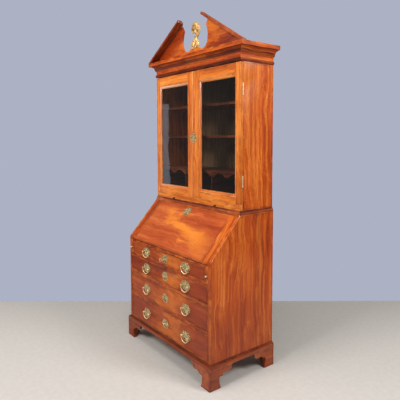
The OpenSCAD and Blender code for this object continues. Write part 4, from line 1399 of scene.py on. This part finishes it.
@dataclass
class Doors:
    """The two glazed doors with their hinges and plates."""

    moulding_halves: Pair = (0.005, 0.009)

    def build(self) -> None:
        """Builds both doors, whose glazing mouldings and astragal take a painted highlight."""
        over, under = self.moulding_halves
        for side in SIDES:
            # The glazing mouldings and astragal take a painted highlight, a light glossy finish standing for the
            # glint along their edges.
            rubbed = second(Side.WIDTH, under, over)
            Joinery(f"door_{side}", (DOOR, ARRIS_HIGHLIGHT), rubbed, ease=0.0007).build()
            redress(f"door_{side}_glass", GLASS)
            PiercedPlates(f"door_{side}_brass").build()
        redress("fixed_hinge_leaves", BRASS)
        redress("fall_hinges", BRASS)
        PiercedPlates("fall_plate").build()


# ---- studio


@dataclass
class Softbox:
    """An area light that faces a point."""

    name: str
    place: Triple
    aim: Triple
    size: Pair
    power: float
    colour: Colour = (1.0, 1.0, 1.0)

    def build(self) -> None:
        """Adds the light to the scene."""
        data = bpy.data.lights.new(self.name, "AREA")
        data.shape = "RECTANGLE"
        data.size, data.size_y = self.size
        data.energy = self.power
        data.color = self.colour
        light = bpy.data.objects.new(self.name, data)
        light.location = self.place
        light.rotation_euler = (Vector(self.aim) - Vector(self.place)).to_track_quat("-Z", "Y").to_euler()
        bpy.context.scene.collection.objects.link(light)


@dataclass
class Studio:
    """Floor, backdrop colour, soft lights and camera."""

    eye: Triple = (2.4385, -1.81245, 1.5)
    yaw: float = 0.9189
    pitch: float = -0.0682
    roll: float = -0.0022
    lens: float = 39.2
    shift: Pair = (0.0025, -0.0773)
    floor_reach: tuple[float, float, float] = (-2.0, 3.95, 3.2)
    backdrop: Colour = tint(172, 178, 196)
    room: Colour = (0.20, 0.195, 0.19)
    floor_tone: Colour = tint(206, 201, 194)
    floor_shade: float = 0.93
    sensor: float = 36.0
    lights: tuple[Softbox, ...] = (
        Softbox("key", (0.2, -3.3, 3.5), (0.0, 0.0, 1.55), (1.6, 1.2), 120.0),
        Softbox("side", (3.1, 1.0, 3.1), (0.4, 0.0, 1.7), (1.2, 1.4), 100.0),
        Softbox("overhead", (0.6, -0.9, 4.2), (0.1, -0.1, 0.8), (2.0, 1.6), 45.0),
        Softbox("window", (-6.0, -3.2, 1.3), (-0.3, 0.0, 1.5), (0.9, 2.0), 7.0, (0.80, 0.87, 1.0)),
        Softbox("left", (-1.7, -3.9, 2.2), (0.0, 0.0, 1.0), (1.2, 1.8), 22.0),
    )

    def build(self) -> None:
        """Builds the studio."""
        self.hang_backdrop()
        self.lay_floor()
        for light in self.lights:
            light.build()
        self.set_camera()

    def hang_backdrop(self) -> None:
        """Gives the backdrop one soft colour, and the room round it a dimmer one."""
        world = bpy.data.worlds.new("backdrop")
        world.use_nodes = True
        tree = world.node_tree
        seen = tree.nodes.new("ShaderNodeLightPath").outputs["Is Camera Ray"]
        colour = tree.nodes.new("ShaderNodeMix")
        colour.data_type = "RGBA"
        colour.inputs[6].default_value = (*self.room, 1.0)
        colour.inputs[7].default_value = (*self.backdrop, 1.0)
        tree.links.new(seen, colour.inputs[0])
        tree.links.new(colour.outputs[2], tree.nodes["Background"].inputs["Color"])
        bpy.context.scene.world = world
        bpy.context.scene.view_settings.view_transform = "Standard"

    def lay_floor(self) -> None:
        """Lays a plain pale floor in line with the camera's view."""
        near, far, side = self.floor_reach
        bm = bmesh.new()
        bmesh.ops.create_grid(bm, x_segments=1, y_segments=1, size=1.0)
        size = Matrix.Diagonal((side, (far - near) / 2, 1.0, 1.0))
        middle = Matrix.Translation((0.0, (far + near) / 2, 0.0))
        turn = Matrix.Translation((self.eye[0], self.eye[1], 0.0)) @ Matrix.Rotation(self.yaw, 4, "Z")
        bmesh.ops.transform(bm, matrix=turn @ middle @ size, verts=bm.verts)
        floor = finish_mesh(bm, "floor")
        bench = ShaderBench("floor_paint")
        mottle = bench.noise(bench.place(), (30.0, 30.0, 30.0), 4.0, 0.6)
        shade = tuple(c * self.floor_shade for c in self.floor_tone)
        paint = bench.mix(bench.spread(mottle, 0.3, 0.7), shade, self.floor_tone)
        floor.data.materials.append(bench.surface(Base_Color=paint, Roughness=0.7))

    def set_camera(self) -> None:
        """Sets the camera."""
        data = bpy.data.cameras.new("camera")
        data.sensor_width = self.sensor
        data.lens = self.lens
        data.shift_x, data.shift_y = self.shift
        camera = bpy.data.objects.new("camera", data)
        turn = Matrix.Rotation(self.yaw, 4, "Z") @ Matrix.Rotation(math.pi / 2 + self.pitch, 4, "X")
        camera.matrix_world = Matrix.Translation(self.eye) @ turn @ Matrix.Rotation(self.roll, 4, "Z")
        bpy.context.scene.collection.objects.link(camera)
        bpy.context.scene.camera = camera


def main() -> None:
    """Builds the pieces in order and reports each."""
    logging.basicConfig(level=logging.INFO, format="%(message)s")
    Studio().build()
    for assembly in (Desk(), LongDrawers(), Bookcase(), Doors()):
        assembly.build()


if __name__ == "__main__":
    main()
